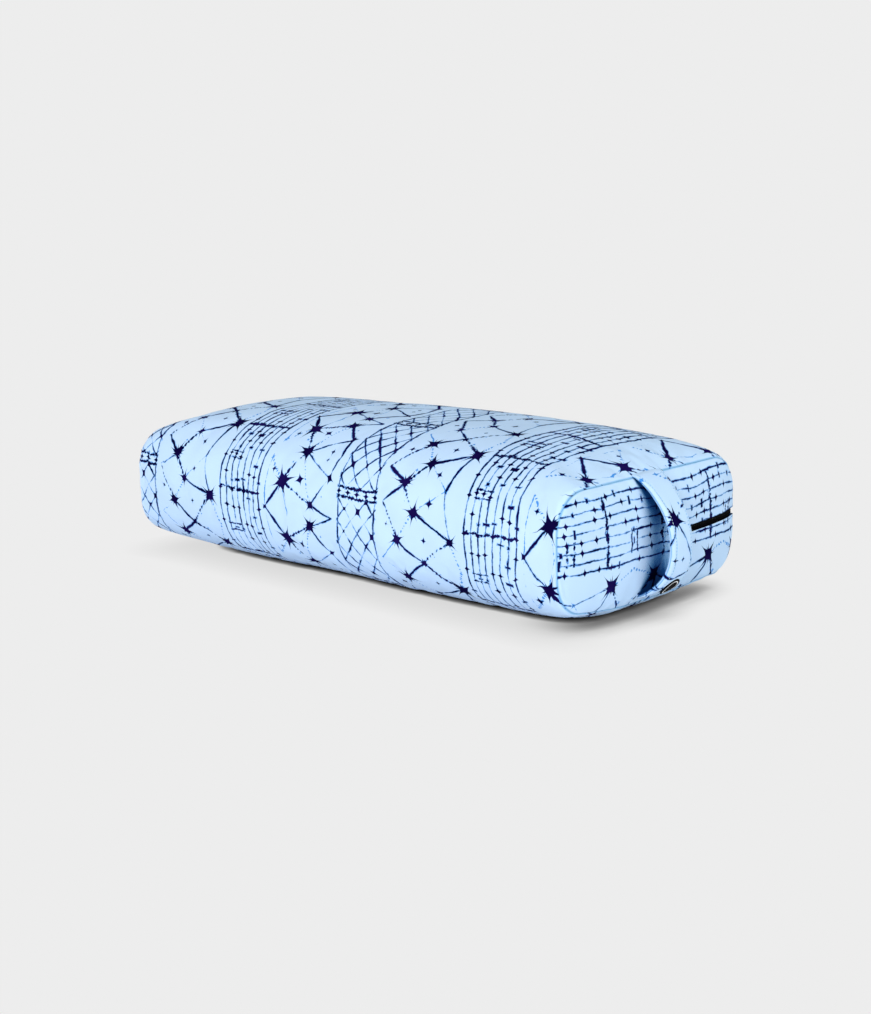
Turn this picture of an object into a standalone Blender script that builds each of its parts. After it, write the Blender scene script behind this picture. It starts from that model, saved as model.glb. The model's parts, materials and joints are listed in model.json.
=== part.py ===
"""Rectangular yoga bolster with a removable zipped cover and one carrying handle.

Frame: metres, +Z up. X runs along the bolster, with the handle end at +X.
Y runs across it, with the zip on the +Y side. The origin is the centre of the
flat underside. Every soft piece is drawn as it sits on a floor: crowned on top,
bulged at the sides, flat where its weight presses it down, and lifted a little
at both ends.
"""
import math

import bmesh
import bpy
from mathutils import Matrix, Vector

# ---------------------------------------------------------------- dimensions
LENGTH = 0.630          # seam to seam along X
END_W = 0.2914          # width at the end seams
SWELL_W = 0.0010        # extra width at mid length, both sides together
END_H = 0.1203          # height of the end panels
END_LIFT = 0.0250       # height of the end panels' lower edge before settling
CROWN = 0.0313          # extra height of the top at mid length
SETTLE = 0.0050         # how far its own weight flattens the underside
CORNER_R = 0.0377       # corner radius of the end panels
MID_POWER = 2.645       # roundness of the cross-section at mid length
END_BULGE = 0.0150      # how far an end panel bulges past its seam

CLOTH = 0.0015          # cover fabric
GAP = 0.0003            # between pieces that touch
SOFT_GAP = 0.0010       # between curved soft layers, whose facets differ
ALLOW_W = 0.0098        # seam allowance, inwards from the seam
ALLOW_T = 0.0020        # two overlocked plies
LINER_INSET = 0.0050    # liner outside surface, below the cover's
LINER_T = 0.0010
LINER_HALF = 0.3012     # half length of the liner between its own seams
LINER_BULGE = 0.0250    # bulge of the liner's ends past their seams
BATT_T = 0.0100         # batting wound round the core
INNER_RING = 24         # points round an inner piece
INNER_STATIONS = 8      # rings along an inner piece

ZIP_Z = 0.0780          # height of the zip's centre line
SLOT_H = 0.0070         # opening between the fabric edges over the zip
ZIP_FAR_X = -0.2800     # closed end of the zip, on the back
ZIP_NEAR_Y = 0.0060     # other end, on the end panel behind the handle
TAPE_H = 0.0105         # height of one tape
TAPE_T = 0.0006
ROW_H = 0.0019          # height of one row of elements
ROW_T = 0.0026
ROW_PART = 0.0016       # slit between the rows, for the slider's bridge
CHAIN_Y = 0.1436        # outer face of the tapes on the back
CHAIN_R = 0.0120        # plan radius of the zip round the corner

SLIDER_X = -0.2735      # slider's centre with the zip shut
SLIDER_L = 0.0110
SLIDER_W = 0.0090
SLIDER_T = 0.0011
PULL_L = 0.0300
PULL_W = 0.0070
PULL_T = 0.0014
PIN_R = 0.0006

HANDLE_ROOT_X = 0.3170  # inner face where it leaves the seams
HANDLE_BOW = 0.0343     # how far the inner face bows out from there
HANDLE_SAG = 0.0049     # its lower half hangs further out than its upper half
HANDLE_Y = -0.0070      # the strap sits a little towards the front
HANDLE_W_END = 0.0440   # pressed flat and wide at the seams
HANDLE_W_MID = 0.0324
HANDLE_T_MID = 0.0074   # padded
HANDLE_T_END = 0.0036
HANDLE_EDGE = 0.0026    # radius of its rolled edges
SLEEVE_WALL = 0.0009
TAIL = 0.0050           # length sewn inside each seam
BADGE_R = 0.0110
BADGE_T = 0.0009
BADGE_Z = 0.0342        # height of the strap's centre line under the badge

RING = 48               # points round the cover's cross-section
STATIONS = 20           # rings along the cover


# ------------------------------------------------------------------ helpers
def clear_scene():
    for obj in list(bpy.data.objects):
        bpy.data.objects.remove(obj, do_unlink=True)


def material(name, colour, roughness, metallic=0.0):
    mat = bpy.data.materials.get(name) or bpy.data.materials.new(name)
    mat.use_nodes = True
    bsdf = mat.node_tree.nodes["Principled BSDF"]
    bsdf.inputs["Base Color"].default_value = (*colour, 1.0)
    bsdf.inputs["Roughness"].default_value = roughness
    bsdf.inputs["Metallic"].default_value = metallic
    mat.diffuse_color = (*colour, 1.0)
    return mat


def add(name, bm, mat, smooth=True, origin=(0.0, 0.0, 0.0), parent=None):
    """Object from a bmesh drawn in world space, with its origin moved to a point."""
    bmesh.ops.recalc_face_normals(bm, faces=bm.faces)
    mesh = bpy.data.meshes.new(name)
    bm.to_mesh(mesh)
    bm.free()
    mesh.transform(Matrix.Translation(-Vector(origin)))
    if mat:
        mesh.materials.append(mat)
    if smooth:
        mesh.shade_smooth()
        mesh.set_sharp_from_angle(angle=math.radians(35))
    obj = bpy.data.objects.new(name, mesh)
    bpy.context.scene.collection.objects.link(obj)
    obj.location = origin
    if parent:
        obj.parent = parent
        obj.location = Vector(origin) - parent.location
    return obj


def cut(obj, cutter):
    cutter.hide_render = True
    cutter.display_type = "WIRE"
    mod = obj.modifiers.new("cut_" + cutter.name, "BOOLEAN")
    mod.operation = "DIFFERENCE"
    mod.solver = "EXACT"
    mod.object = cutter


def rounded_rect(c, s, ry, rz):
    """Polar radius of a unit square with elliptical corners, along (c, s)."""
    c, s = abs(c), abs(s)
    r = 1.0 / max(c, s)
    y, z = c * r, s * r
    if y > 1 - ry and z > 1 - rz:
        a = (c / ry) ** 2 + (s / rz) ** 2
        b = -2 * (c * (1 - ry) / ry ** 2 + s * (1 - rz) / rz ** 2)
        k = ((1 - ry) / ry) ** 2 + ((1 - rz) / rz) ** 2 - 1
        r = (-b + math.sqrt(max(b * b - 4 * a * k, 0.0))) / (2 * a)
    return r


def section(u, inset=0.0, count=RING):
    """Cross-section at u (-1 to 1 along the length), as (y, z) points."""
    au = min(abs(u), 1.0)
    half_w = END_W / 2 + SWELL_W / 2 * (1 - au ** 4.13) - inset
    top = END_LIFT + END_H + CROWN * (1 - au ** 6.85)
    bottom = END_LIFT * au ** 6.2
    half_h = (top - bottom) / 2 - inset
    mid = (top + bottom) / 2 - SETTLE
    mix = 1 - au ** 6.78
    corner = max(CORNER_R - inset, 0.008)
    points = []
    for k in range(count):
        phi = 2 * math.pi * k / count
        c, s = math.cos(phi), math.sin(phi)
        r_end = rounded_rect(c, s, corner / half_w, corner / half_h)
        r_mid = (abs(c) ** MID_POWER + abs(s) ** MID_POWER) ** (-1 / MID_POWER)
        r = (1 - mix) * r_end + mix * r_mid
        points.append((c * r * half_w, max(mid + s * r * half_h, inset)))
    return points


def stations(half, count):
    """X values from -half to half, closer together towards the ends."""
    out = []
    for k in range(count + 1):
        t = 2 * k / count - 1
        out.append(half * math.copysign(1 - (1 - abs(t)) ** 1.7, t))
    return out


def ring_verts(bm, x, points):
    return [bm.verts.new((x, y, z)) for y, z in points]


def bridge(bm, a, b):
    """Band of triangles between two rings, always split along the same diagonal,
    so that the facets of nested layers run parallel."""
    n = len(a)
    for k in range(n):
        j = (k + 1) % n
        bm.faces.new((a[k], a[j], b[j]))
        bm.faces.new((a[k], b[j], b[k]))


def tube(inset, thick, half, count, ring):
    """Open-ended sleeve that follows the body's outside at a given depth."""
    bm = bmesh.new()
    outer, inner = [], []
    for x in stations(half, count):
        outer.append(ring_verts(bm, x, section(2 * x / LENGTH, inset, ring)))
        inner.append(ring_verts(bm, x, section(2 * x / LENGTH, inset + thick, ring)))
    for a, b in zip(outer, outer[1:]):
        bridge(bm, a, b)
    for a, b in zip(inner, inner[1:]):
        bridge(bm, a, b)
    bridge(bm, outer[0], inner[0])
    bridge(bm, inner[-1], outer[-1])
    return bm


def dish(sign, rim_x, inset, thick, bulge, ring=RING, power=3.0, steps=(1.0, 0.96, 0.88, 0.72, 0.5, 0.25)):
    """End panel: outline at the rim, bulging outwards towards its middle."""
    bm = bmesh.new()
    outer_pts = section(rim_x * 2 / LENGTH, inset, ring)
    inner_pts = section(rim_x * 2 / LENGTH, inset + thick, ring)
    mid_z = (max(p[1] for p in outer_pts) + min(p[1] for p in outer_pts)) / 2

    def skin(points, lift):
        rings = []
        for q in steps:
            x = sign * (rim_x + lift * (1 - q ** power))
            rings.append([bm.verts.new((x, y * q, mid_z + (z - mid_z) * q)) for y, z in points])
        centre = bm.verts.new((sign * (rim_x + lift), 0.0, mid_z))
        for a, b in zip(rings, rings[1:]):
            bridge(bm, a, b)
        n = len(points)
        for k in range(n):
            bm.faces.new((rings[-1][k], rings[-1][(k + 1) % n], centre))
        return rings[0]

    a = skin(outer_pts, bulge)
    b = skin(inner_pts, bulge - thick)
    bridge(bm, a, b)
    return bm


def lump(half, inset, count, ring):
    """Closed solid that follows the body at a depth."""
    bm = bmesh.new()
    rows = [ring_verts(bm, x, section(2 * x / LENGTH, inset, ring)) for x in stations(half, count)]
    for a, b in zip(rows, rows[1:]):
        bridge(bm, a, b)
    bm.faces.new(rows[0])
    bm.faces.new(rows[-1])
    return bm


def dome(sign, rim_x, inset, bulge, ring, power=3.0):
    """Solid cap with a flat back, bulging outwards towards its middle."""
    bm = bmesh.new()
    points = section(rim_x * 2 / LENGTH, inset, ring)
    mid_z = (max(p[1] for p in points) + min(p[1] for p in points)) / 2
    rings = []
    for q in (1.0, 0.96, 0.88, 0.72, 0.5, 0.25):
        x = sign * (rim_x + bulge * (1 - q ** power))
        rings.append([bm.verts.new((x, y * q, mid_z + (z - mid_z) * q)) for y, z in points])
    centre = bm.verts.new((sign * (rim_x + bulge), 0.0, mid_z))
    for a, b in zip(rings, rings[1:]):
        bridge(bm, a, b)
    for k in range(ring):
        bm.faces.new((rings[-1][k], rings[-1][(k + 1) % ring], centre))
    bm.faces.new(rings[0])
    return bm


def box(x0, x1, y0, y1, z0, z1):
    bm = bmesh.new()
    bmesh.ops.create_cube(bm, size=1.0)
    for v in bm.verts:
        v.co.x = x0 if v.co.x < 0 else x1
        v.co.y = y0 if v.co.y < 0 else y1
        v.co.z = z0 if v.co.z < 0 else z1
    return bm


# ------------------------------------------------------------------ zip path
def panel_x(y):
    """X of the near end panel's outer surface at the zip's height."""
    q = min(abs(y) / (END_W / 2), 1.0)
    return LENGTH / 2 - 0.0012 + END_BULGE * (1 - q ** 3)


def zip_path():
    """Plan line of the tapes' outer face: along the back, round the corner, along the end."""
    depth = CLOTH + GAP
    line = []
    corner_x = panel_x(CHAIN_Y - CHAIN_R) - depth - CHAIN_R
    for k in range(13):
        line.append((ZIP_FAR_X + (corner_x - ZIP_FAR_X) * k / 12, CHAIN_Y))
    for k in range(1, 8):
        a = math.radians(84) * k / 7
        line.append((corner_x + CHAIN_R * math.sin(a), CHAIN_Y - CHAIN_R + CHAIN_R * math.cos(a)))
    y_start = line[-1][1]
    for k in range(1, 13):
        y = y_start + (ZIP_NEAR_Y - y_start) * k / 12
        line.append((panel_x(y) - depth, y))
    return line


def strip(line, z0, z1, front, back):
    """Upright strip along a plan line; front and back are distances outwards from it."""
    bm = bmesh.new()
    rows = []
    n = len(line)
    for k, (x, y) in enumerate(line):
        xa, ya = line[max(k - 1, 0)]
        xb, yb = line[min(k + 1, n - 1)]
        t = Vector((xb - xa, yb - ya)).normalized()
        out = Vector((-t.y, t.x))
        if out.dot(Vector((1.0, 1.0))) < 0:
            out = -out
        f = Vector((x, y)) + out * front
        b = Vector((x, y)) + out * back
        rows.append([bm.verts.new(p) for p in
                     ((f.x, f.y, z0), (f.x, f.y, z1), (b.x, b.y, z1), (b.x, b.y, z0))])
    for a, b in zip(rows, rows[1:]):
        bridge(bm, a, b)
    bm.faces.new(rows[0])
    bm.faces.new(rows[-1])
    return bm


# -------------------------------------------------------------------- handle
def handle_line(steps=22):
    """Centre line of the strap in the XZ plane, from the upper tail to the lower one.

    Each entry is (x, z, width, thickness)."""
    edge = HANDLE_T_END / 2
    high = END_LIFT + END_H - SETTLE - CLOTH - GAP - edge
    low = END_LIFT - SETTLE + CLOTH + GAP + edge
    mid, half = (high + low) / 2, (high - low) / 2

    def inner(a):
        t = math.sin(a)
        power, round_off = (1.97, 0.93) if t > 0 else (2.44, 0.78)
        bow = max(1 - abs(t) ** power, 0.0) ** round_off
        return HANDLE_ROOT_X + HANDLE_BOW * bow - HANDLE_SAG * (1 - t * t) * t, mid + half * t

    line = []
    for k in range(1, steps):
        a = math.pi * (0.5 - k / steps)
        t = abs(math.sin(a))
        x, z = inner(a)
        (xa, za), (xb, zb) = inner(a + 0.02), inner(a - 0.02)
        run = Vector((xb - xa, zb - za)).normalized()
        thick = HANDLE_T_END + (HANDLE_T_MID - HANDLE_T_END) * (1 - t ** 5)
        width = HANDLE_W_MID + (HANDLE_W_END - HANDLE_W_MID) * t ** 2.7
        line.append((x - run.y * thick / 2, z + run.x * (thick - HANDLE_T_END * t ** 5) / 2, width, thick))
    seam = LENGTH / 2
    upper = [(seam - TAIL - 0.001, high, HANDLE_W_END, HANDLE_T_END), (seam - 0.001, high, HANDLE_W_END, HANDLE_T_END)]
    lower = [(seam - 0.001, low, HANDLE_W_END, HANDLE_T_END), (seam - TAIL - 0.001, low, HANDLE_W_END, HANDLE_T_END)]
    return upper + line + lower


def strap_sections(line, in_w=0.0, in_t=0.0):
    """Rounded cross-sections along the line; in_w and in_t make them smaller on each side."""
    sections = []
    n = len(line)
    for k, (x, z, w, thick) in enumerate(line):
        xa, za = line[max(k - 1, 0)][:2]
        xb, zb = line[min(k + 1, n - 1)][:2]
        t = Vector((xb - xa, zb - za)).normalized()
        out = Vector((-t.y, t.x))
        h, d = w / 2 - in_w, thick / 2 - in_t
        r = min(HANDLE_EDGE, thick * 0.36) - max(in_t, 0.0)
        r = max(min(r, d * 0.8), 0.0003)
        prof = []
        for cy, cd, start in ((h - r, d - r, 0), (-h + r, d - r, 90), (-h + r, -d + r, 180), (h - r, -d + r, 270)):
            for turn in (0, 45, 90):
                a = math.radians(start + turn)
                prof.append((cy + r * math.cos(a), cd + r * math.sin(a)))
        sections.append([Vector((x + out.x * q, HANDLE_Y + y, z + out.y * q)) for y, q in prof])
    return sections


def strap_rows(bm, line, in_w=0.0, in_t=0.0):
    rows = [[bm.verts.new(p) for p in points] for points in strap_sections(line, in_w, in_t)]
    for a, b in zip(rows, rows[1:]):
        bridge(bm, a, b)
    return rows


def solid_strap(line, in_w=0.0, in_t=0.0):
    bm = bmesh.new()
    rows = strap_rows(bm, line, in_w, in_t)
    bm.faces.new(rows[0])
    bm.faces.new(rows[-1])
    return bm


def padding(line, start, end):
    """Length of the strap's padding between two places, counted in stations of the line."""
    sections = strap_sections(line, 2 * SLEEVE_WALL + GAP, SLEEVE_WALL + GAP)

    def at(s):
        k = min(int(s), len(sections) - 2)
        return [p.lerp(q, s - k) for p, q in zip(sections[k], sections[k + 1])]

    bm = bmesh.new()
    places = [start] + [k for k in range(len(line)) if start + 0.2 < k < end - 0.2] + [end]
    rows = [[bm.verts.new(p) for p in at(s)] for s in places]
    for a, b in zip(rows, rows[1:]):
        bridge(bm, a, b)
    bm.faces.new(rows[0])
    bm.faces.new(rows[-1])
    return bm


def sleeve(line):
    """Fabric sleeve round the padding, open at both tails."""
    bm = bmesh.new()
    outer = strap_rows(bm, line)
    inner = strap_rows(bm, line, 2 * SLEEVE_WALL, SLEEVE_WALL)
    bridge(bm, outer[0], inner[0])
    bridge(bm, inner[-1], outer[-1])
    return bm


def badge_shape():
    """Thin disc that follows the strap's outer face on its lower part."""
    full = handle_line(60)
    line = [Vector((x, z)) for x, z, _, _ in full]
    middle = min(range(20, len(line) - 2), key=lambda k: abs(line[k].y - BADGE_Z))
    run = [0.0]
    for p, q in zip(line, line[1:]):
        run.append(run[-1] + (q - p).length)
    start = run[middle]

    def place(s, y, lift):
        k = min(max(sum(1 for r in run if r <= start + s) - 1, 0), len(line) - 2)
        f = (start + s - run[k]) / (run[k + 1] - run[k])
        p = line[k].lerp(line[k + 1], f)
        t = (line[min(k + 2, len(line) - 1)] - line[max(k - 1, 0)]).normalized()
        out = Vector((-t.y, t.x))
        thick = full[k][3] + (full[k + 1][3] - full[k][3]) * f
        q = p + out * (thick / 2 + lift)
        return (q.x, HANDLE_Y + y, q.y)

    bm = bmesh.new()
    shells = []
    for lift in (0.0004 + BADGE_T, 0.0004):
        rings = []
        for frac in (1.0, 0.6):
            rings.append([bm.verts.new(place(-BADGE_R * frac * math.cos(a), BADGE_R * frac * math.sin(a), lift))
                          for a in (2 * math.pi * k / 32 for k in range(32))])
        centre = bm.verts.new(place(0.0, 0.0, lift))
        bridge(bm, rings[0], rings[1])
        for k in range(32):
            bm.faces.new((rings[1][k], rings[1][(k + 1) % 32], centre))
        shells.append(rings[0])
    bridge(bm, shells[0], shells[1])
    return bm


def label_shape(x0, x1, z0, z1, depth=0.0032, thick=0.0004):
    """Thin patch that follows the inside of the back long side."""
    bm = bmesh.new()
    rows = []
    for x in (x0, (x0 + x1) / 2, x1):
        for inset in (depth, depth + thick):
            side = sorted((z, y) for y, z in section(2 * x / LENGTH, inset, 240) if y > 0.08)
            row = []
            for k in range(9):
                z = z0 + (z1 - z0) * k / 8
                j = max(i for i, p in enumerate(side) if p[0] <= z)
                (za, ya), (zb, yb) = side[j], side[j + 1]
                row.append(bm.verts.new((x, ya + (yb - ya) * (z - za) / (zb - za), z)))
            rows.append(row)
    loops = [rows[k] + rows[k + 1][::-1] for k in (0, 2, 4)]
    for a, b in zip(loops, loops[1:]):
        bridge(bm, a, b)
    bm.faces.new(loops[0])
    bm.faces.new(loops[-1])
    return bm


# --------------------------------------------------------------------- build
def build():
    clear_scene()
    fabric = material("cover_fabric", (0.52, 0.71, 0.88), 0.85)
    inside = material("liner_cloth", (0.86, 0.86, 0.84), 0.9)
    fibre = material("batting_fibre", (0.93, 0.93, 0.92), 0.95)
    foam = material("foam", (0.90, 0.85, 0.62), 0.95)
    tape = material("zip_tape", (0.012, 0.012, 0.014), 0.8)
    coil = material("zip_elements", (0.016, 0.016, 0.018), 0.4)
    metal = material("slider_metal", (0.03, 0.03, 0.032), 0.35, 0.9)
    thread = material("thread", (0.70, 0.82, 0.93), 0.7)
    badge_mat = material("badge", (0.015, 0.015, 0.016), 0.45)
    label_mat = material("label", (0.92, 0.92, 0.92), 0.7)

    seam = LENGTH / 2
    rim = seam - 0.0012

    # Cover: one wrap and two end panels.
    wrap = add("cover_wrap", tube(0.0, CLOTH, rim - GAP / 2, STATIONS, RING), fabric)
    near = add("near_end_panel", dish(1, rim + GAP / 2, 0.0, CLOTH, END_BULGE), fabric)
    add("far_end_panel", dish(-1, rim + GAP / 2, 0.0, CLOTH, END_BULGE), fabric)

    # Slit for the zip: along the back, round the corner and along the near end.
    slit_back = add("slit_back", box(ZIP_FAR_X - 0.004, seam + 0.02, 0.128, 0.170,
                                     ZIP_Z - SLOT_H / 2, ZIP_Z + SLOT_H / 2), None, False)
    slit_end = add("slit_end", box(0.300, 0.345, ZIP_NEAR_Y - 0.004, 0.170,
                                   ZIP_Z - SLOT_H / 2, ZIP_Z + SLOT_H / 2), None, False)
    cut(wrap, slit_back)
    cut(near, slit_end)

    # Seam allowances inside the two end seams.
    allow = {}
    for name, sign in (("near_seam_allowance", 1), ("far_seam_allowance", -1)):
        bm = bmesh.new()
        rows = []
        for x, depth in ((rim - GAP - ALLOW_W, 0.0), (rim - GAP - ALLOW_W / 2, 0.0), (rim - GAP, 0.0)):
            u = 2 * x / LENGTH
            rows.append((ring_verts(bm, sign * x, section(u, CLOTH + SOFT_GAP)),
                         ring_verts(bm, sign * x, section(u, CLOTH + SOFT_GAP + ALLOW_T))))
        for (a, b), (c, d) in zip(rows, rows[1:]):
            bridge(bm, a, c)
            bridge(bm, d, b)
        bridge(bm, rows[0][0], rows[0][1])
        bridge(bm, rows[-1][1], rows[-1][0])
        allow[sign] = add(name, bm, thread)
    notch = add("allowance_notch", box(0.295, 0.330, 0.120, 0.160,
                                       ZIP_Z - TAPE_H - 0.003, ZIP_Z + TAPE_H + 0.003), None, False)
    cut(allow[1], notch)

    # Handle: fabric sleeve over four lengths of padding, its tails sewn into the end seams.
    line = handle_line()
    add("handle_sleeve", sleeve(line), fabric)
    part = 0.04             # of a station: half the gap between two lengths of padding
    for name, start, end in (("top", 0.0, 7.0 - part), ("upper", 7.0 + part, 12.0 - part),
                             ("lower", 12.0 + part, 17.0 - part), ("bottom", 17.0 + part, len(line) - 1.0)):
        add("handle_core_" + name, padding(line, start, end), fibre)
    root = add("handle_passage", solid_strap(line, -GAP, -GAP), None, False)
    cut(near, root)
    cut(allow[1], root)

    # Round badge on the strap's lower part.
    add("handle_badge", badge_shape(), badge_mat)

    # Zip: two tapes behind the slit, a row of elements on each, and end stops.
    path = zip_path()
    half = ROW_PART / 2
    add("zipper_tape_upper", strip(path, ZIP_Z + half, ZIP_Z + half + TAPE_H, -GAP / 2, -TAPE_T), tape)
    add("zipper_tape_lower", strip(path, ZIP_Z - half - TAPE_H, ZIP_Z - half, -GAP / 2, -TAPE_T), tape)
    add("zipper_coil_upper", strip(path, ZIP_Z + half, ZIP_Z + half + ROW_H, GAP / 2, ROW_T), coil)
    add("zipper_coil_lower", strip(path, ZIP_Z - half - ROW_H, ZIP_Z - half, GAP / 2, ROW_T), coil)
    far = ZIP_FAR_X
    add("zipper_stop_far", box(far - 0.0028, far - GAP, CHAIN_Y + GAP, CHAIN_Y + ROW_T,
                               ZIP_Z - 0.0030, ZIP_Z + 0.0030), metal, False)
    xs, ys = path[-1]
    add("zipper_stop_near", box(xs - 0.0006, xs + 0.0020, ys - 0.0028, ys - GAP,
                                ZIP_Z - 0.0030, ZIP_Z + 0.0030), metal, False)

    # Slider: two wings joined by a bridge that runs between the rows.
    front_y = CHAIN_Y + ROW_T + GAP
    back_y = CHAIN_Y - TAPE_T - GAP
    carrier = bpy.data.objects.new("slider_axis", None)
    carrier.location = (SLIDER_X, front_y, ZIP_Z)
    bpy.context.scene.collection.objects.link(carrier)
    bm = bmesh.new()

    def wing(y0, y1):
        outline = []
        for px, pz in ((-0.5, 0.30), (-0.30, 0.5), (0.15, 0.5), (0.42, 0.34), (0.5, 0.20)):
            outline.append((SLIDER_X + px * SLIDER_L, ZIP_Z + pz * SLIDER_W))
        outline += [(x, 2 * ZIP_Z - z) for x, z in reversed(outline)]
        a = [bm.verts.new((x, y0, z)) for x, z in outline]
        b = [bm.verts.new((x, y1, z)) for x, z in outline]
        bridge(bm, a, b)
        bm.faces.new(a)
        bm.faces.new(b)

    wing(front_y, front_y + SLIDER_T)
    slider = add("zipper_slider", bm, metal, False, origin=(SLIDER_X, front_y, ZIP_Z), parent=None)
    bm = bmesh.new()
    wing(back_y - SLIDER_T, back_y)
    back_wing = add("slider_back_wing", bm, metal, False)
    spine = add("slider_bridge", box(SLIDER_X - 0.0052, SLIDER_X - 0.0022, back_y - 0.0005, front_y + 0.0005,
                                     ZIP_Z - half + GAP, ZIP_Z + half - GAP), metal, False)
    # Bail: two ears on the front wing that hold the pull's pin.
    pin_y = front_y + SLIDER_T + 0.0016
    pin_x = SLIDER_X + 0.0012
    ears = []
    for k, side in enumerate((-1, 1)):
        z0 = ZIP_Z + side * (PULL_W / 2 - 0.0016) if side > 0 else ZIP_Z - (PULL_W / 2 - 0.0016) - 0.0010
        ears.append(add("slider_ear_%d" % k, box(pin_x - 0.0016, pin_x + 0.0016, front_y + SLIDER_T - 0.0004,
                                                 pin_y + 0.0013, z0, z0 + 0.0010), metal, False))
    pin = bmesh.new()
    bmesh.ops.create_cone(pin, cap_ends=True, segments=16, radius1=PIN_R, radius2=PIN_R,
                          depth=PULL_W - 0.0028, matrix=Matrix.Translation((pin_x, pin_y, ZIP_Z)))
    pin = add("slider_pin", pin, metal)
    for other in [back_wing, spine] + ears + [pin]:
        other.hide_render = True
        other.display_type = "WIRE"
        mod = slider.modifiers.new("join_" + other.name, "BOOLEAN")
        mod.operation = "UNION"
        mod.solver = "EXACT"
        mod.object = other

    # Pull tab: an eye round the pin, and a flat tab. Its origin is on the hinge axis.
    bm = bmesh.new()
    hub = PIN_R + 0.0009
    gap_z = PULL_W / 2 - 0.0016 - GAP
    tab_y0 = pin_y - PULL_T / 2
    tab_y1 = pin_y + PULL_T / 2
    outline = []
    arms = 18
    for k in range(arms + 1):
        a = math.radians(60) + math.radians(240) * k / arms
        outline.append((pin_x + hub * math.cos(a), pin_y + hub * math.sin(a)))
    # Profile in plan: the eye, then the tab's neck.
    neck = [(pin_x + 0.0042, tab_y0), (pin_x + 0.0042, tab_y1)]
    prof = outline + neck
    lo = [bm.verts.new((x, y, ZIP_Z - gap_z)) for x, y in prof]
    hi = [bm.verts.new((x, y, ZIP_Z + gap_z)) for x, y in prof]
    bridge(bm, lo, hi)
    bm.faces.new(lo)
    bm.faces.new(hi)
    pull = add("zipper_pull", bm, metal, True, origin=(pin_x, pin_y, ZIP_Z))
    bm = bmesh.new()
    tab = []
    x0 = pin_x + 0.0036
    x1 = pin_x + PULL_L
    for k in range(9):
        a = math.radians(-90 + 180 * k / 8)
        tab.append((x1 - PULL_W * 0.5 + PULL_W * 0.5 * math.cos(a), ZIP_Z + PULL_W * 0.5 * math.sin(a)))
    tab += [(x0 + 0.003, ZIP_Z + PULL_W / 2), (x0, ZIP_Z + gap_z - 0.0001),
            (x0, ZIP_Z - gap_z + 0.0001), (x0 + 0.003, ZIP_Z - PULL_W / 2)]
    a = [bm.verts.new((x, tab_y0, z)) for x, z in tab]
    b = [bm.verts.new((x, tab_y1, z)) for x, z in tab]
    bridge(bm, a, b)
    bm.faces.new(a)
    bm.faces.new(b)
    blade = add("pull_blade", bm, metal, False)
    mod = pull.modifiers.new("join_blade", "BOOLEAN")
    mod.operation = "UNION"
    mod.object = blade
    blade.hide_render = True
    blade.display_type = "WIRE"
    hole = bmesh.new()
    bmesh.ops.create_cone(hole, cap_ends=True, segments=20, radius1=PIN_R + 0.00012, radius2=PIN_R + 0.00012,
                          depth=PULL_W, matrix=Matrix.Translation((pin_x, pin_y, ZIP_Z)))
    cut(pull, add("pull_eye", hole, None))
    for obj in (slider, pull):
        obj.parent = carrier
        obj.location = obj.location - carrier.location

    # Inner bag, batting, crown pads and foam core.
    half_l = LINER_HALF - GAP / 2
    add("liner_wrap", tube(LINER_INSET, LINER_T, half_l, INNER_STATIONS, INNER_RING), inside)
    depth = LINER_INSET + LINER_T + SOFT_GAP
    for side, sign in (("near", 1), ("far", -1)):
        add("liner_end_" + side, dish(sign, LINER_HALF + GAP / 2, LINER_INSET, LINER_T, LINER_BULGE, INNER_RING, 2.5), inside)
        add("batting_end_" + side, dome(sign, LINER_HALF + GAP / 2, depth, LINER_BULGE - LINER_T - GAP, INNER_RING, 2.5), fibre)
    add("batting_wrap", tube(depth, BATT_T, half_l, INNER_STATIONS, INNER_RING), fibre)
    depth += BATT_T + SOFT_GAP
    low, mid, high = 0.0380, 0.0800, 0.1220
    layers = (("crown_pad_bottom", None, low, fibre), ("foam_core_lower", low, mid, foam),
              ("foam_core_upper", mid, high, foam), ("crown_pad_top", high, None, fibre))
    for name, z0, z1, mat in layers:
        obj = add(name, lump(half_l, depth, INNER_STATIONS, INNER_RING), mat)
        if z0 is not None:
            cut(obj, add(name + "_under", box(-0.4, 0.4, -0.2, 0.2, -0.1, z0 + GAP / 2), None, False))
        if z1 is not None:
            cut(obj, add(name + "_over", box(-0.4, 0.4, -0.2, 0.2, z1 - GAP / 2, 0.3), None, False))

    # Blank label sewn in behind the lower tape, near the closed end of the zip.
    add("care_label", label_shape(-0.246, -0.214, 0.034, 0.064), label_mat)


build()
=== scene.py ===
"""Looks of the rectangular yoga bolster: printed microfibre cover, strap, zip, badge, studio."""
import json
import math

import bmesh
import bpy
import numpy as np
from mathutils import Matrix, Vector
from mathutils.bvhtree import BVHTree


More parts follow.
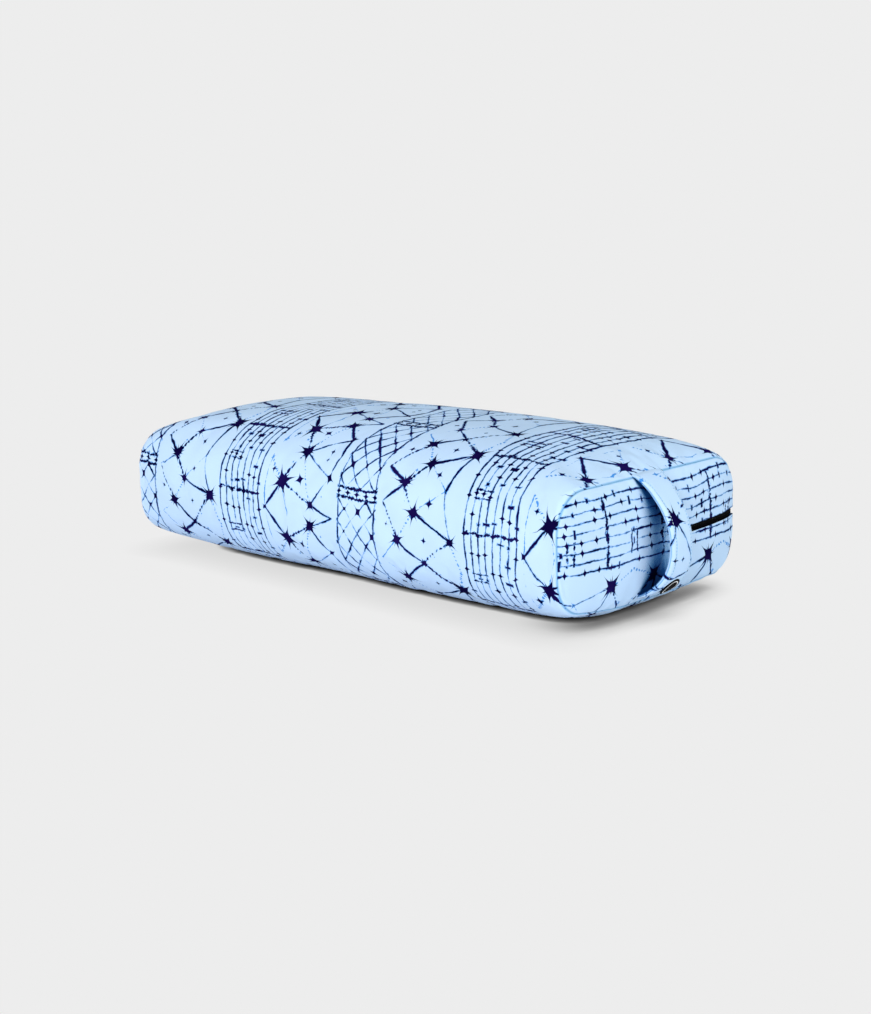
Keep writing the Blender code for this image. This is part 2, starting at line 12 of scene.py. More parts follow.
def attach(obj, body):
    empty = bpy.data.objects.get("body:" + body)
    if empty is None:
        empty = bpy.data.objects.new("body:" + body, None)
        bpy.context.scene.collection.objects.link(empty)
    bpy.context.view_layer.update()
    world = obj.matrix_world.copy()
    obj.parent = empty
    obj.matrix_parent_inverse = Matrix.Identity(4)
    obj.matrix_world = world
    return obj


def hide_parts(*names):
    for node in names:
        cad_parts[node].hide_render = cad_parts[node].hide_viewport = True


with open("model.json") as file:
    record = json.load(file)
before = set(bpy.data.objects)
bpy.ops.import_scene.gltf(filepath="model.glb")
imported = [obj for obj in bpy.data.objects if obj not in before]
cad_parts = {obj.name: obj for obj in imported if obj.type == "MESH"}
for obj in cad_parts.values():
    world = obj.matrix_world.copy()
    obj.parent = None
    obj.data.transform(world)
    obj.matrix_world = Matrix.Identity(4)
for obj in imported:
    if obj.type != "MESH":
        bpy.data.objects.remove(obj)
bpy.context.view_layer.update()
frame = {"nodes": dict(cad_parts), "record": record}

# ------------------------------------------------------------------ dimensions, in metres (the CAD model's)
LENGTH, END_W, SWELL_W, END_H = 0.630, 0.2914, 0.0030, 0.1203
END_LIFT, CROWN, SETTLE = 0.0250, 0.0313, 0.0050
CORNER_R, MID_POWER, END_BULGE = 0.0377, 2.645, 0.0150
ZIP_Z, ZIP_FAR_X, ZIP_NEAR_Y, CHAIN_Y, CHAIN_R = 0.0780, -0.2800, 0.0060, 0.1436, 0.0120
SLOT = 0.0036            # half height of the opening over the zip
STRAP_ROOT, STRAP_BOW, STRAP_SAG, STRAP_Y = 0.3170, 0.0343, 0.0049, -0.0070
STRAP_W_END, STRAP_W_MID, STRAP_T_END, STRAP_T_MID = 0.0440, 0.0324, 0.0036, 0.0074
STRAP_HIGH, STRAP_LOW = 0.1367, 0.0236
BADGE_R, BADGE_Z = 0.0110, 0.0342
HALF = LENGTH / 2


# ------------------------------------------------------------------ small helpers
def noise1(s, scale, seed, octaves=2):
    """Smooth one-dimensional noise, about -1 to 1."""
    s = np.asarray(s, float)
    out = np.zeros_like(s)
    amp = 1.0
    for o in range(octaves):
        table = np.random.default_rng(seed * 97 + 31 * o + 5).uniform(-1, 1, 4096)
        q = s / scale * 2 ** o + 512
        k = np.floor(q).astype(int)
        f = q - k
        f = f * f * (3 - 2 * f)
        out += amp * (table[k % 4096] * (1 - f) + table[(k + 1) % 4096] * f)
        amp *= 0.5
    return out / 1.4


def mesh_object(name, verts, faces, uvs=None, smooth=True):
    """Mesh object; uvs maps a layer name to one (u, v) per vertex."""
    me = bpy.data.meshes.new(name)
    me.from_pydata([tuple(map(float, v)) for v in verts], [], [tuple(int(i) for i in f) for f in faces])
    if uvs:
        loops = np.zeros(len(me.loops), np.int32)
        me.loops.foreach_get("vertex_index", loops)
        for layer, values in uvs.items():
            lay = me.uv_layers.new(name=layer)
            lay.data.foreach_set("uv", np.asarray(values, np.float32)[loops].ravel())
    if smooth:
        me.shade_smooth()
    ob = bpy.data.objects.new(name, me)
    bpy.context.scene.collection.objects.link(ob)
    return ob


def paint(ob, name, values):
    """A number per vertex, for the materials."""
    v = np.zeros(len(ob.data.vertices), np.float32)
    values = np.asarray(values, np.float32).ravel()
    v[:len(values)] = values
    ob.data.attributes.new(name, "FLOAT", "POINT").data.foreach_set("value", v)


def grid_faces(n, m, closed=False, offset=0, flip=False):
    i, j = np.meshgrid(np.arange(n - 1), np.arange(m if closed else m - 1), indexing="ij")
    k = (j + 1) % m
    f = np.stack([i * m + j, i * m + k, (i + 1) * m + k, (i + 1) * m + j], -1).reshape(-1, 4) + offset
    return [tuple(q[::-1]) if flip else tuple(q) for q in f]


def grid_normals(P):
    n = np.cross(np.gradient(P, axis=0), np.gradient(P, axis=1))
    return n / np.maximum(np.linalg.norm(n, axis=2, keepdims=True), 1e-12)


def arc_uv(P):
    """Lengths along both directions of a grid, for a bake map."""
    a = np.concatenate([np.zeros((1, P.shape[1])), np.cumsum(np.linalg.norm(np.diff(P, axis=0), axis=2), 0)], 0)
    b = np.concatenate([np.zeros((P.shape[0], 1)), np.cumsum(np.linalg.norm(np.diff(P, axis=1), axis=2), 1)], 1)
    return a, b


def unit_uv(a, b, pad=0.004):
    a = (a - a.min()) / max(a.max() - a.min(), 1e-9)
    b = (b - b.min()) / max(b.max() - b.min(), 1e-9)
    return np.stack([pad + a * (1 - 2 * pad), pad + b * (1 - 2 * pad)], -1).reshape(-1, 2)


# ------------------------------------------------------------------ body shape
def rounded(c, s, ry, rz):
    c, s = np.abs(c), np.abs(s)
    r = 1 / np.maximum(c, s)
    y, z = c * r, s * r
    k = (y > 1 - ry) & (z > 1 - rz)
    cc, ss = c[k], s[k]
    a = (cc / ry) ** 2 + (ss / rz) ** 2
    b = -2 * (cc * (1 - ry) / ry ** 2 + ss * (1 - rz) / rz ** 2)
    q = ((1 - ry) / ry) ** 2 + ((1 - rz) / rz) ** 2 - 1
    r[k] = (-b + np.sqrt(np.maximum(b * b - 4 * a * q, 0))) / (2 * a)
    return r


def outline(u, inset, n=1440):
    """Dense cross-section, clockwise from the zip's height: down the back, under, up the front, over."""
    au = min(abs(u), 1.0)
    hw = END_W / 2 + SWELL_W / 2 * (1 - au ** 4.13) - inset
    top = END_LIFT + END_H + CROWN * (1 - au ** 6.85)
    bot = END_LIFT * au ** 6.2
    hh = (top - bot) / 2 - inset
    mid = (top + bot) / 2 - SETTLE
    mix = 1 - au ** 6.78
    phi = -2 * np.pi * (np.arange(n) + 0.5) / n
    c, s = np.cos(phi), np.sin(phi)
    r = (1 - mix) * rounded(c, s, CORNER_R / hw, CORNER_R / hh) \
        + mix * (np.abs(c) ** MID_POWER + np.abs(s) ** MID_POWER) ** (-1 / MID_POWER)
    y, z = c * r * hw, mid + s * r * hh
    return y, (z + np.sqrt(z * z + 0.0012 ** 2)) / 2        # settles on the floor


def slot_half(x):
    """Half height of the slit over the zip along the back; past the zip it is a closed seam."""
    t = np.clip((x - (ZIP_FAR_X - 0.005)) / 0.007, 0, 1)
    return 0.00025 + (SLOT - 0.00025) * t * t * (3 - 2 * t)


def ring(x, inset, count):
    """Equally spaced points from the slit's lower edge, round the body, to its upper edge."""
    y, z = outline(2 * x / LENGTH, inset)
    h = slot_half(x)
    start = int(np.argmin(np.abs(z - (ZIP_Z - h)) + 10 * (y < 0.1)))
    y, z = np.roll(y, -start), np.roll(z, -start)
    end = len(z) - 60 + int(np.argmin(np.abs(z[-60:] - (ZIP_Z + h))))
    y, z = y[:end + 1].copy(), z[:end + 1].copy()
    z[0], z[-1] = ZIP_Z - h, ZIP_Z + h
    s = np.r_[0, np.cumsum(np.hypot(np.diff(y), np.diff(z)))]
    t = np.linspace(0, s[-1], count)
    return np.c_[np.full(count, x), np.interp(t, s, y), np.interp(t, s, z)]


def seam_roll(e):
    """How far the cloth rolls in towards a seam, at distance e from it."""
    w = 0.0050
    q = np.clip((w - e) / w, 0, 1)
    return 0.0019 * (1 - np.sqrt(np.maximum(1 - q * q, 0))) + 0.0006 * np.exp(-e / 0.010)


NG = 361                 # columns round the girth
NEAR_SEAM = [0.0, 0.0005, 0.0011, 0.0018, 0.0027, 0.0038, 0.0052, 0.0070, 0.0092, 0.0118, 0.0148, 0.0182]
inner = np.linspace(-(HALF - 0.0220), HALF - 0.0220, 187)
xs = np.r_[[-(HALF - e) for e in NEAR_SEAM], inner, [HALF - e for e in NEAR_SEAM[::-1]]]
W = np.array([ring(x, float(seam_roll(np.float64(HALF - abs(x)))), NG) for x in xs])

def ease(v, a, b):
    t = np.clip((v - a) / (b - a), 0, 1)
    return t * t * (3 - 2 * t)


def slump(P):
    """The filling sags under the strap end, and the long front edge rides up a little in its middle."""
    x, y, z = P[..., 0], P[..., 1], P[..., 2]
    across = np.interp(y, [-0.116, -0.108, -0.098, -0.083, -0.062, -0.035, 0.050, 0.072, 0.100, 0.148],
                       [0.0, 0.0, 0.20, 0.46, 0.82, 1.0, 1.0, 0.82, 0.66, 0.78])
    sag = 0.0070 * ease(x, 0.19, 0.305) * across * ease(z, 0.062, 0.028)
    ride = 0.0022 * np.exp(-((x + 0.028) / 0.045) ** 2) * ease(z, 0.034, 0.012) * ease(y, -0.075, -0.098) * ease(z, 0.0, 0.006)
    crown = 0.0024 * np.exp(-((x - 0.035) / 0.11) ** 4) * ease(z, 0.11, 0.155) * ease(y, -0.02, 0.05)
    P = P.copy()
    P[..., 2] = np.maximum(z - sag + ride + crown, np.minimum(z, 0.0002))
    return P


W = slump(W)
N = grid_normals(W)
if N[len(xs) // 2, NG // 2, 1] > 0:
    N = -N
_, girth = arc_uv(W)
front = np.argmin(np.abs(W[:, :, 2] - 0.080) + 10 * (W[:, :, 1] > 0), axis=1)
FAB_B = girth - girth[np.arange(len(xs)), front][:, None]
FAB_A, _ = arc_uv(W)
FAB_A = FAB_A - FAB_A[len(xs) // 2][None]


def panel_grid(sign):
    """End panel as rings from the seam inwards, over the same columns as the wrap."""
    rim = W[-1] if sign > 0 else W[0]
    cy, cz = (ZIP_NEAR_Y - 0.002 if sign > 0 else 0.0), ZIP_Z
    d = rim[:, 1:] - np.array([cy, cz])
    reach = np.linalg.norm(d, axis=1)
    k0 = 1 - NEAR_SEAM[-1] / reach
    scales = [1 - e / reach for e in NEAR_SEAM] + [k0 * q for q in np.linspace(0.97, 0.02, 40)]
    edge = [np.full(NG, e) for e in NEAR_SEAM] + [NEAR_SEAM[-1] + reach * (k0 - k0 * q) for q in np.linspace(0.97, 0.02, 40)]
    P = np.zeros((len(scales), NG, 3))
    for i, (k, e) in enumerate(zip(scales, edge)):
        plump = 0.0016 * (1 - np.exp(-e / 0.0018))
        P[i, :, 0] = HALF + 0.0134 * (1 - np.clip(k, 0, 1) ** 3) + plump
        P[i, :, 1] = cy + d[:, 0] * k
        P[i, :, 2] = cz + d[:, 1] * k
    P[..., 0] *= sign
    return P, np.array(edge)


NEAR, NEAR_E = panel_grid(1)
FAR, FAR_E = panel_grid(-1)


# ------------------------------------------------------------------ cloth simulation
def simulate_cover():
    """Lets the sewn cover, cut a little large, settle under the filling's push.

    Gives the fine creases alone, as heights over the wrap and both panels."""
    cols = np.linspace(0, NG - 1, 121)[:-1].round().astype(int)
    rows = np.unique(np.r_[np.arange(0, 12, 2), np.arange(11, len(xs) - 11, 2), len(xs) - 1 - np.arange(0, 12, 2)])
    prow = np.r_[np.arange(0, 12, 2), np.arange(13, NEAR.shape[0], 4)]
    w, a, b = W[rows][:, cols], NEAR[prow][:, cols], FAR[prow][:, cols]
    nc, nr, npr = len(cols), len(rows), len(prow)
    verts = np.vstack([w.reshape(-1, 3), a[1:].reshape(-1, 3), a[-1].mean(0), b[1:].reshape(-1, 3), b[-1].mean(0)])
    faces = grid_faces(nr, nc, closed=True)
    near0 = nr * nc
    far0 = near0 + (npr - 1) * nc + 1

    def panel_faces(seam, start):
        ids = np.vstack([seam, start + np.arange((npr - 1) * nc).reshape(npr - 1, nc)])
        out = []
        for i in range(npr - 1):
            for j in range(nc):
                k = (j + 1) % nc
                out.append((ids[i, j], ids[i, k], ids[i + 1, k], ids[i + 1, j]))
        c = start + (npr - 1) * nc
        out += [(ids[-1, j], ids[-1, (j + 1) % nc], c) for j in range(nc)]
        return out
    faces += panel_faces((nr - 1) * nc + np.arange(nc), near0)
    faces += panel_faces(np.arange(nc), far0)
    ob = mesh_object("cover_sim", verts, faces)
    bm = bmesh.new()
    bm.from_mesh(ob.data)
    bmesh.ops.recalc_face_normals(bm, faces=bm.faces)
    bm.to_mesh(ob.data)
    bm.free()
    group = ob.vertex_groups.new(name="pin")
    seam_ids = list(range(nc)) + list(range((nr - 1) * nc, nr * nc))
    low = [int(i) for i in np.nonzero(verts[:, 2] < 0.0022)[0]]
    group.add(seam_ids, 1.0, "REPLACE")
    group.add([i for i in low if i not in set(seam_ids)], 0.9, "REPLACE")
    mod = ob.modifiers.new("cloth", "CLOTH")
    st = mod.settings
    st.quality = 6
    st.mass = 0.20
    st.tension_stiffness = 12
    st.compression_stiffness = 12
    st.shear_stiffness = 5
    st.bending_stiffness = 0.25
    st.use_pressure = True
    st.uniform_pressure_force = 4.0
    st.shrink_min = -0.035
    st.vertex_group_mass = "pin"
    st.effector_weights.gravity = 0.0
    mod.point_cache.frame_start, mod.point_cache.frame_end = 1, 24
    scene = bpy.context.scene
    for f in range(1, 25):
        scene.frame_set(f)
    settled = ob.evaluated_get(bpy.context.evaluated_depsgraph_get()).to_mesh()
    co = np.zeros(len(verts) * 3)
    settled.vertices.foreach_get("co", co)
    co = co.reshape(-1, 3)
    nrm = np.zeros(len(verts) * 3)
    ob.data.vertices.foreach_get("normal", nrm)
    lift = ((co - verts) * nrm.reshape(-1, 3)).sum(1)
    bpy.data.objects.remove(ob)
    scene.frame_set(1)

    def fine(d):
        """Only the short waves of a height map; columns join up at their ends."""
        low = d.copy()
        for _ in range(14):
            low = (np.roll(low, 1, 1) + 2 * low + np.roll(low, -1, 1)) / 4
            padded = np.vstack([low[:1], low, low[-1:]])
            low = (padded[:-2] + 2 * padded[1:-1] + padded[2:]) / 4
        return d - low

    dw = fine(lift[:nr * nc].reshape(nr, nc))
    dn = fine(np.vstack([np.zeros(nc), lift[near0:near0 + (npr - 1) * nc].reshape(npr - 1, nc)]))
    df = fine(np.vstack([np.zeros(nc), lift[far0:far0 + (npr - 1) * nc].reshape(npr - 1, nc)]))
    print("sim lift mm: wrap %.2f rms, near %.2f rms" % (1000 * dw.std(), 1000 * dn.std()))

    def spread(d, row_at, row_to):
        ext = np.hstack([d, d[:, :1]])
        at = np.r_[cols, NG - 1]
        step = np.array([np.interp(np.arange(NG), at, r) for r in ext])
        return np.array([np.interp(row_to, row_at, step[:, j]) for j in range(NG)]).T
    scale = 0.00042 / max(dw[6:-6].std(), 1e-6) if dw.std() > 0 else 0
    scale = min(scale, 1.0)

    def limit(d):
        return np.tanh(d * scale / 0.0014) * 0.0014
    return (limit(spread(dw, rows, np.arange(len(xs)))), limit(spread(dn, prow, np.arange(NEAR.shape[0]))),
            limit(spread(df, prow, np.arange(FAR.shape[0]))))


SIM = simulate_cover()


# ------------------------------------------------------------------ cover
def puckers(s, edge, seed):
    """Gathers along a seam: short waves across it that fade away from it."""
    gather = 0.55 * noise1(s, 0.010, seed) + 0.45 * noise1(s, 0.024, seed + 3)
    ridge = np.exp(-((edge - 0.0100 - 0.0012 * noise1(s, 0.05, seed + 5)) / 0.0024) ** 2)
    return 0.00060 * gather * np.exp(-edge / 0.012) * np.clip(edge / 0.002, 0, 1) \
        + 0.00030 * ridge * (0.6 + 0.4 * noise1(s, 0.03, seed + 7))


edge_x = np.minimum(HALF - W[:, :, 0], HALF + W[:, :, 0])
side_seed = np.where(W[:, :, 0] > 0, 0.0, 5.0)
lift = puckers(girth + side_seed, edge_x, 5) + SIM[0]
swell = 0.00035 * noise1(FAB_A * 1.0 + 0.31 * FAB_B, 0.055, 61) + 0.00030 * noise1(FAB_B - 0.4 * FAB_A, 0.070, 67)
lift = lift + swell * np.clip(edge_x / 0.03, 0, 1)
lift = lift * np.clip((W[:, :, 2]) / 0.004, 0.05, 1)          # pressed flat underneath
W = W + N * lift[..., None]
W[..., 2] = np.maximum(W[..., 2], 0.0)
W[:, 0, 2], W[:, -1, 2] = ZIP_Z - slot_half(xs), ZIP_Z + slot_half(xs)

FOLD = [0.0004, 0.0010, 0.0019]


def fold_edges(P, inwards):
    """Turns both slit edges inwards, like a hem."""
    lo, hi = P[:, 0], P[:, -1]
    slope = np.array([0, 0, 0.45])
    first = [lo + (inwards[:, 0] - slope) * d for d in FOLD[::-1]]
    last = [hi + (inwards[:, -1] + slope) * d for d in FOLD]
    return np.concatenate([np.stack(first, 1), P, np.stack(last, 1)], axis=1)


pad = len(FOLD)
inwards = np.zeros_like(W)
inwards[..., 1] = -1
WW = fold_edges(W, inwards)
AA, BB = (np.pad(q, ((0, 0), (pad, pad)), mode="edge") for q in (FAB_A, FAB_B))
bake_b = np.tile(np.arange(WW.shape[1]), (WW.shape[0], 1))
cover = mesh_object("cover_wrap_cloth", WW.reshape(-1, 3), grid_faces(*WW.shape[:2], flip=True),
                    {"OFBake": unit_uv(AA, bake_b), "fabric": np.stack([AA, BB], -1).reshape(-1, 2)})
# painted shade along both seams of the wrap, darkest right at the seam
paint(cover, "painted_seam_shade", np.pad(np.exp(-(edge_x / 0.00058) ** 2) * (0.8 + 0.2 * noise1(girth, 0.02, 15)), ((0, 0), (pad, pad)), mode="edge"))
paint(cover, "bold", np.pad(ease(N[..., 2], 0.55, 0.92), ((0, 0), (pad, pad)), mode="edge"))


def end_panel(sign, name, P, edge, sim, shift):
    s = girth[-1 if sign > 0 else 0][None, :] + 0.7 * sign
    P = P.copy()
    # painted shade along the panel's seam, darkest right at the seam
    painted_seam_shade = np.exp(-(edge / 0.00058) ** 2) * (0.8 + 0.2 * noise1(s, 0.02, 17))
    P[..., 0] += sign * (puckers(s, edge, 41 + sign) + sim)
    P[..., 0] += sign * 0.0005 * noise1(P[..., 1] * 1.0 + 0.5 * P[..., 2], 0.045, 71 + sign) * np.clip(edge / 0.02, 0, 1)
    if sign > 0:
        # open the slit: the columns nearest the cut keep clear of the zip
        t = np.clip((P[..., 1] - ZIP_NEAR_Y - 0.005) / 0.003, 0, 1)
        h = 0.0002 + (SLOT - 0.0002) * t
        j = np.arange(NG)[None, :] < NG // 2
        right = P[..., 1] > ZIP_NEAR_Y - 0.003
        dz = P[..., 2] - ZIP_Z
        P[..., 2] = np.where(right & j & (dz > -h), ZIP_Z - h, P[..., 2])
        P[..., 2] = np.where(right & ~j & (dz < h), ZIP_Z + h, P[..., 2])
        inw = np.zeros_like(P)
        inw[..., 0] = -1
        P = fold_edges(P, inw)
        painted_seam_shade = np.pad(painted_seam_shade, ((0, 0), (pad, pad)), mode="edge")
    m = P.shape[1]
    verts = P.reshape(-1, 3)
    centre = P[-1].mean(0)
    verts = np.vstack([verts, centre])
    faces = grid_faces(P.shape[0], m, closed=(sign < 0), flip=(sign > 0))
    base, c = (P.shape[0] - 1) * m, len(verts) - 1
    for j in range(m if sign < 0 else m - 1):
        f = (base + j, base + (j + 1) % m, c)
        faces.append(f[::-1] if sign > 0 else f)
    yz = verts[:, 1:]
    lo, hi = yz.min(0), yz.max(0)
    bake = (yz - lo) / (hi - lo).max() * 0.99 + 0.005
    fabric = np.c_[yz[:, 1] + shift[0], yz[:, 0] * sign + shift[1]]      # the grain lies across
    ob = mesh_object(name, verts, faces, {"OFBake": bake, "fabric": fabric})
    paint(ob, "painted_seam_shade", painted_seam_shade)
    return ob


near_panel = end_panel(1, "near_end_cloth", NEAR, NEAR_E, SIM[1], (-0.2230, 0.015))
far_panel = end_panel(-1, "far_end_cloth", FAR, FAR_E, SIM[2], (0.095, 0.060))
for ob, node in ((cover, "cover_wrap"), (near_panel, "near_end_panel"), (far_panel, "far_end_panel")):
    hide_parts(node)
    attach(ob, "bolster")


# ------------------------------------------------------------------ strap
def strap_inner(a):
    t = math.sin(a)
    power, ease = (1.97, 0.93) if t > 0 else (2.44, 0.78)
    bow = max(1 - abs(t) ** power, 0.0) ** ease
    mid, half = (STRAP_HIGH + STRAP_LOW) / 2, (STRAP_HIGH - STRAP_LOW) / 2
    return np.array([STRAP_ROOT + STRAP_BOW * bow - STRAP_SAG * (1 - t * t) * t, mid + half * t])


def strap_path(count):
    """Evenly spaced stations: inner point, outward normal, width, thickness, run along the strap."""
    a = np.linspace(math.pi / 2 - 0.006, -math.pi / 2 + 0.006, 1200)
    p = np.array([strap_inner(v) for v in a])
    p = np.vstack([[0.3105, STRAP_HIGH + 0.0004], [0.3140, STRAP_HIGH + 0.0004], p, [0.3140, STRAP_LOW], [0.3105, STRAP_LOW]])
    tt = np.r_[1, 1, np.abs(np.sin(a)), 1, 1]
    s = np.r_[0, np.cumsum(np.linalg.norm(np.diff(p, axis=0), axis=1))]
    q = np.linspace(0, s[-1], count)
    x, z, t = (np.interp(q, s, v) for v in (p[:, 0], p[:, 1], tt))
    for _ in range(3):
        x[1:-1] = (x[:-2] + 2 * x[1:-1] + x[2:]) / 4
        z[1:-1] = (z[:-2] + 2 * z[1:-1] + z[2:]) / 4
    dx, dz = np.gradient(x), np.gradient(z)
    l = np.hypot(dx, dz)
    nx, nz = -dz / l, dx / l
    thick = STRAP_T_END + (STRAP_T_MID - STRAP_T_END) * (1 - t ** 5)
    width = STRAP_W_MID + (STRAP_W_END - STRAP_W_MID) * t ** 2.7
    return q, x, z, nx, nz, width, thick


STITCH_IN = 0.0044       # topstitch line, from the strap's edge


def strap_mesh():
    n = 260
    q, x, z, nx, nz, width, thick = strap_path(n)
    near_edge = np.array([0.0, 0.0004, 0.0009, 0.0015, 0.0022, 0.0030])
    rows, fab, groove_shade_rows = [], [], []
    for i in range(n):
        h, d = width[i] / 2, thick[i] / 2
        r = 0.0064
        # closed profile from the inner face's edge round: (y, outward)
        half = np.r_[h - r - near_edge, np.linspace(h - r - 0.0040, 0, 8)]
        face = np.r_[-half, half[-2::-1]]
        ang = np.radians(np.linspace(-90, 90, 61)[1:-1])
        cs, sn = np.cos(ang), np.sin(ang)
        bulk = (np.abs(cs) ** 2.15 + np.abs(sn) ** 2.15) ** (-1 / 2.15)
        right = np.c_[h - r + r * cs * bulk, d * sn * bulk]
        prof = np.vstack([np.c_[face, np.full(len(face), -d)], right, np.c_[face[::-1], np.full(len(face), d)], -right])
        y, o = prof[:, 0].copy(), prof[:, 1].copy()
        live = min(1.0, min(q[i], q[-1] - q[i]) / 0.012)
        e = h - np.abs(y)
        groove = 0.00042 * np.exp(-((e - STITCH_IN) / 0.00033) ** 2) + 0.00022 * np.exp(-((e - STITCH_IN) / 0.0012) ** 2)
        welt = 0.00018 * np.exp(-((e - 0.0024) / 0.0011) ** 2)
        crown = 0.00030 * np.clip(1 - (y / (h - 0.0050)) ** 2, 0, 1)
        on_face = np.abs(prof[:, 1]) > d * 0.55
        o += np.sign(prof[:, 1]) * np.where(on_face, (welt - groove + crown * (prof[:, 1] > 0)) * live, 0)
        side = ~on_face
        y -= np.sign(y) * np.where(side, 0.00045 * np.exp(-(o / 0.00030) ** 2) * live, 0)
        wob = 0.00020 * noise1(np.array([q[i]]), 0.014, 83)[0] * live
        y = y + np.sign(y) * (np.abs(y) > h * 0.8) * wob
        gather = 0.00010 * noise1(np.array([q[i]]), 0.0031, 87)[0] * np.exp(-((e - STITCH_IN) / 0.0014) ** 2)
        o = o + (0.00022 * noise1(q[i] + y * 0.6, 0.012, 89) + gather) * live
        # painted shade: darker in the topstitch groove of the outer face and along the seam round the strap's edge
        seam = 0.95 * np.exp(-((e - STITCH_IN) / 0.00045) ** 2) * on_face * (prof[:, 1] > 0) + 0.75 * np.exp(-(prof[:, 1] / 0.00055) ** 2) * side
        groove_shade_rows.append(seam * live)
        rows.append(np.c_[x[i] + nx[i] * (o + d), STRAP_Y + y, z[i] + nz[i] * (o + d)])
        around = np.r_[0, np.cumsum(np.hypot(np.diff(prof[:, 0]), np.diff(prof[:, 1])))]
        middle = len(face) + len(right) + len(face) // 2
        fab.append(np.c_[around - around[middle], np.full(len(prof), q[i])])
    P, F = np.array(rows), np.array(fab)
    m = P.shape[1]
    # the closed profile's first column is repeated, so that the map has an edge there
    P = np.concatenate([P, P[:, :1]], axis=1)
    groove_shade = np.array(groove_shade_rows)
    groove_shade = np.concatenate([groove_shade, groove_shade[:, :1]], axis=1)
    last = F[:, -1:].copy()
    last[..., 0] += 0.0008
    F = np.concatenate([F, last], axis=1)
    fabric = np.stack([F[..., 1] + STRAP_PRINT[0], F[..., 0] + STRAP_PRINT[1]], -1).reshape(-1, 2)
    ob = mesh_object("carry_strap_cloth", P.reshape(-1, 3), grid_faces(n, m + 1),
                     {"OFBake": unit_uv(F[..., 1], F[..., 0]), "fabric": fabric})
    paint(ob, "painted_seam_shade", groove_shade)
    return ob, P


STRAP_PRINT = (-0.0930, 0.060)
strap, STRAP_P = strap_mesh()
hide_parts("handle_sleeve", "handle_core_top", "handle_core_upper", "handle_core_lower", "handle_core_bottom")
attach(strap, "bolster")


def capsules(name, spots, radius, sides=6):
    """Many short threads as one mesh. spots: (centre, direction, bend outwards, length)."""
    verts, faces, uv = [], [], []
    for centre, along, out, length in spots:
        along = along / np.linalg.norm(along)
        out = out - along * out.dot(along)
        out /= np.linalg.norm(out)
        side = np.cross(along, out)
        base = len(verts)
        prof = [(-0.5, 0.0, -0.9), (-0.42, 0.75, -0.35), (-0.2, 1.0, 0.1), (0.2, 1.0, 0.1), (0.42, 0.75, -0.35), (0.5, 0.0, -0.9)]
        for k, (s, r, up) in enumerate(prof):
            c = centre + along * s * length + out * up * radius
            for j in range(sides):
                a = 2 * math.pi * j / sides
                verts.append(c + (side * math.cos(a) + out * math.sin(a)) * radius * max(r, 0.15))
                uv.append((s * length * 40 + 0.5, j / sides))
        for k in range(len(prof) - 1):
            for j in range(sides):
                n = (j + 1) % sides
                faces.append((base + k * sides + j, base + k * sides + n, base + (k + 1) * sides + n, base + (k + 1) * sides + j))
        faces.append(tuple(base + j for j in range(sides))[::-1])
        faces.append(tuple(base + (len(prof) - 1) * sides + j for j in range(sides)))
    return mesh_object(name, verts, faces, {"thread": uv})


def strap_stitches(side):
    q, x, z, nx, nz, width, thick = strap_path(900)
    spots = []
    pitch = 0.0029
    run = 0.0095
    while run < q[-1] - 0.0085:
        i = int(np.searchsorted(q, run))
        h = width[i] / 2
        y = side * (h - STITCH_IN)
        o = thick[i] - 0.00040
        c = np.array([x[i] + nx[i] * o, STRAP_Y + y, z[i] + nz[i] * o])
        j = min(i + 12, len(q) - 1)
        along = np.array([x[j] - x[i], side * (width[j] - width[i]) / 2, z[j] - z[i]])
        spots.append((c, along, np.array([nx[i], 0, nz[i]]), 0.0023))
        run += pitch
    return capsules("strap_stitch_front" if side < 0 else "strap_stitch_back", spots, 0.00021)


stitches = [strap_stitches(-1), strap_stitches(1)]
for ob in stitches:
    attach(ob, "bolster")


# ------------------------------------------------------------------ badge
def badge_mesh():
    q, x, z, nx, nz, width, thick = strap_path(900)
    cz = z + nz * thick / 2
    cx = x + nx * thick / 2
    ok = np.arange(len(q)) > len(q) // 2
    mid = int(np.argmin(np.abs(cz - BADGE_Z) + 10 * ~ok))
    run = np.r_[0, np.cumsum(np.hypot(np.diff(cx), np.diff(cz)))]
    run -= run[mid]
    radii = [0, 0.25, 0.45, 0.60, 0.665, 0.69, 0.71, 0.735, 0.785, 0.81, 0.835, 0.87, 0.92, 0.96, 0.985, 1.0, 1.0, 0.985]
    lifts = [1.15, 1.15, 1.14, 1.12, 1.10, 1.09, 1.14, 1.20, 1.20, 1.14, 1.09, 1.12, 1.14, 1.08, 0.95, 0.75, 0.30, 0.05]
    m = 96
    rows, uv = [], []
    for r, lift in zip(radii, lifts):
        for j in range(m):
            a = 2 * math.pi * j / m
            s, y = BADGE_R * r * math.cos(a), BADGE_R * r * math.sin(a)
            i = int(np.searchsorted(run, s))
            i = min(max(i, 1), len(run) - 1)
            f = (s - run[i - 1]) / (run[i] - run[i - 1])
            px, pz = cx[i - 1] + (cx[i] - cx[i - 1]) * f, cz[i - 1] + (cz[i] - cz[i - 1]) * f
            o = thick[i] / 2 + 0.00042 + 0.001 * (lift - 0.25) * 1.0 + 0.0006 + 0.075 * s
            rows.append((px + nx[i] * o, STRAP_Y + y, pz + nz[i] * o))
            uv.append((0.5 + r * math.cos(a) * 0.49, 0.5 + r * math.sin(a) * 0.49))
    n = len(radii)
    faces = grid_faces(n, m, closed=True, flip=False)
    return mesh_object("strap_badge", rows, faces, {"disc": uv})


badge = badge_mesh()
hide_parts("handle_badge")
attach(badge, "bolster")


# ------------------------------------------------------------------ zip
def panel_x(y):
    q = np.minimum(np.abs(y) / (END_W / 2), 1.0)
    return HALF - 0.0012 + END_BULGE * (1 - q ** 3)


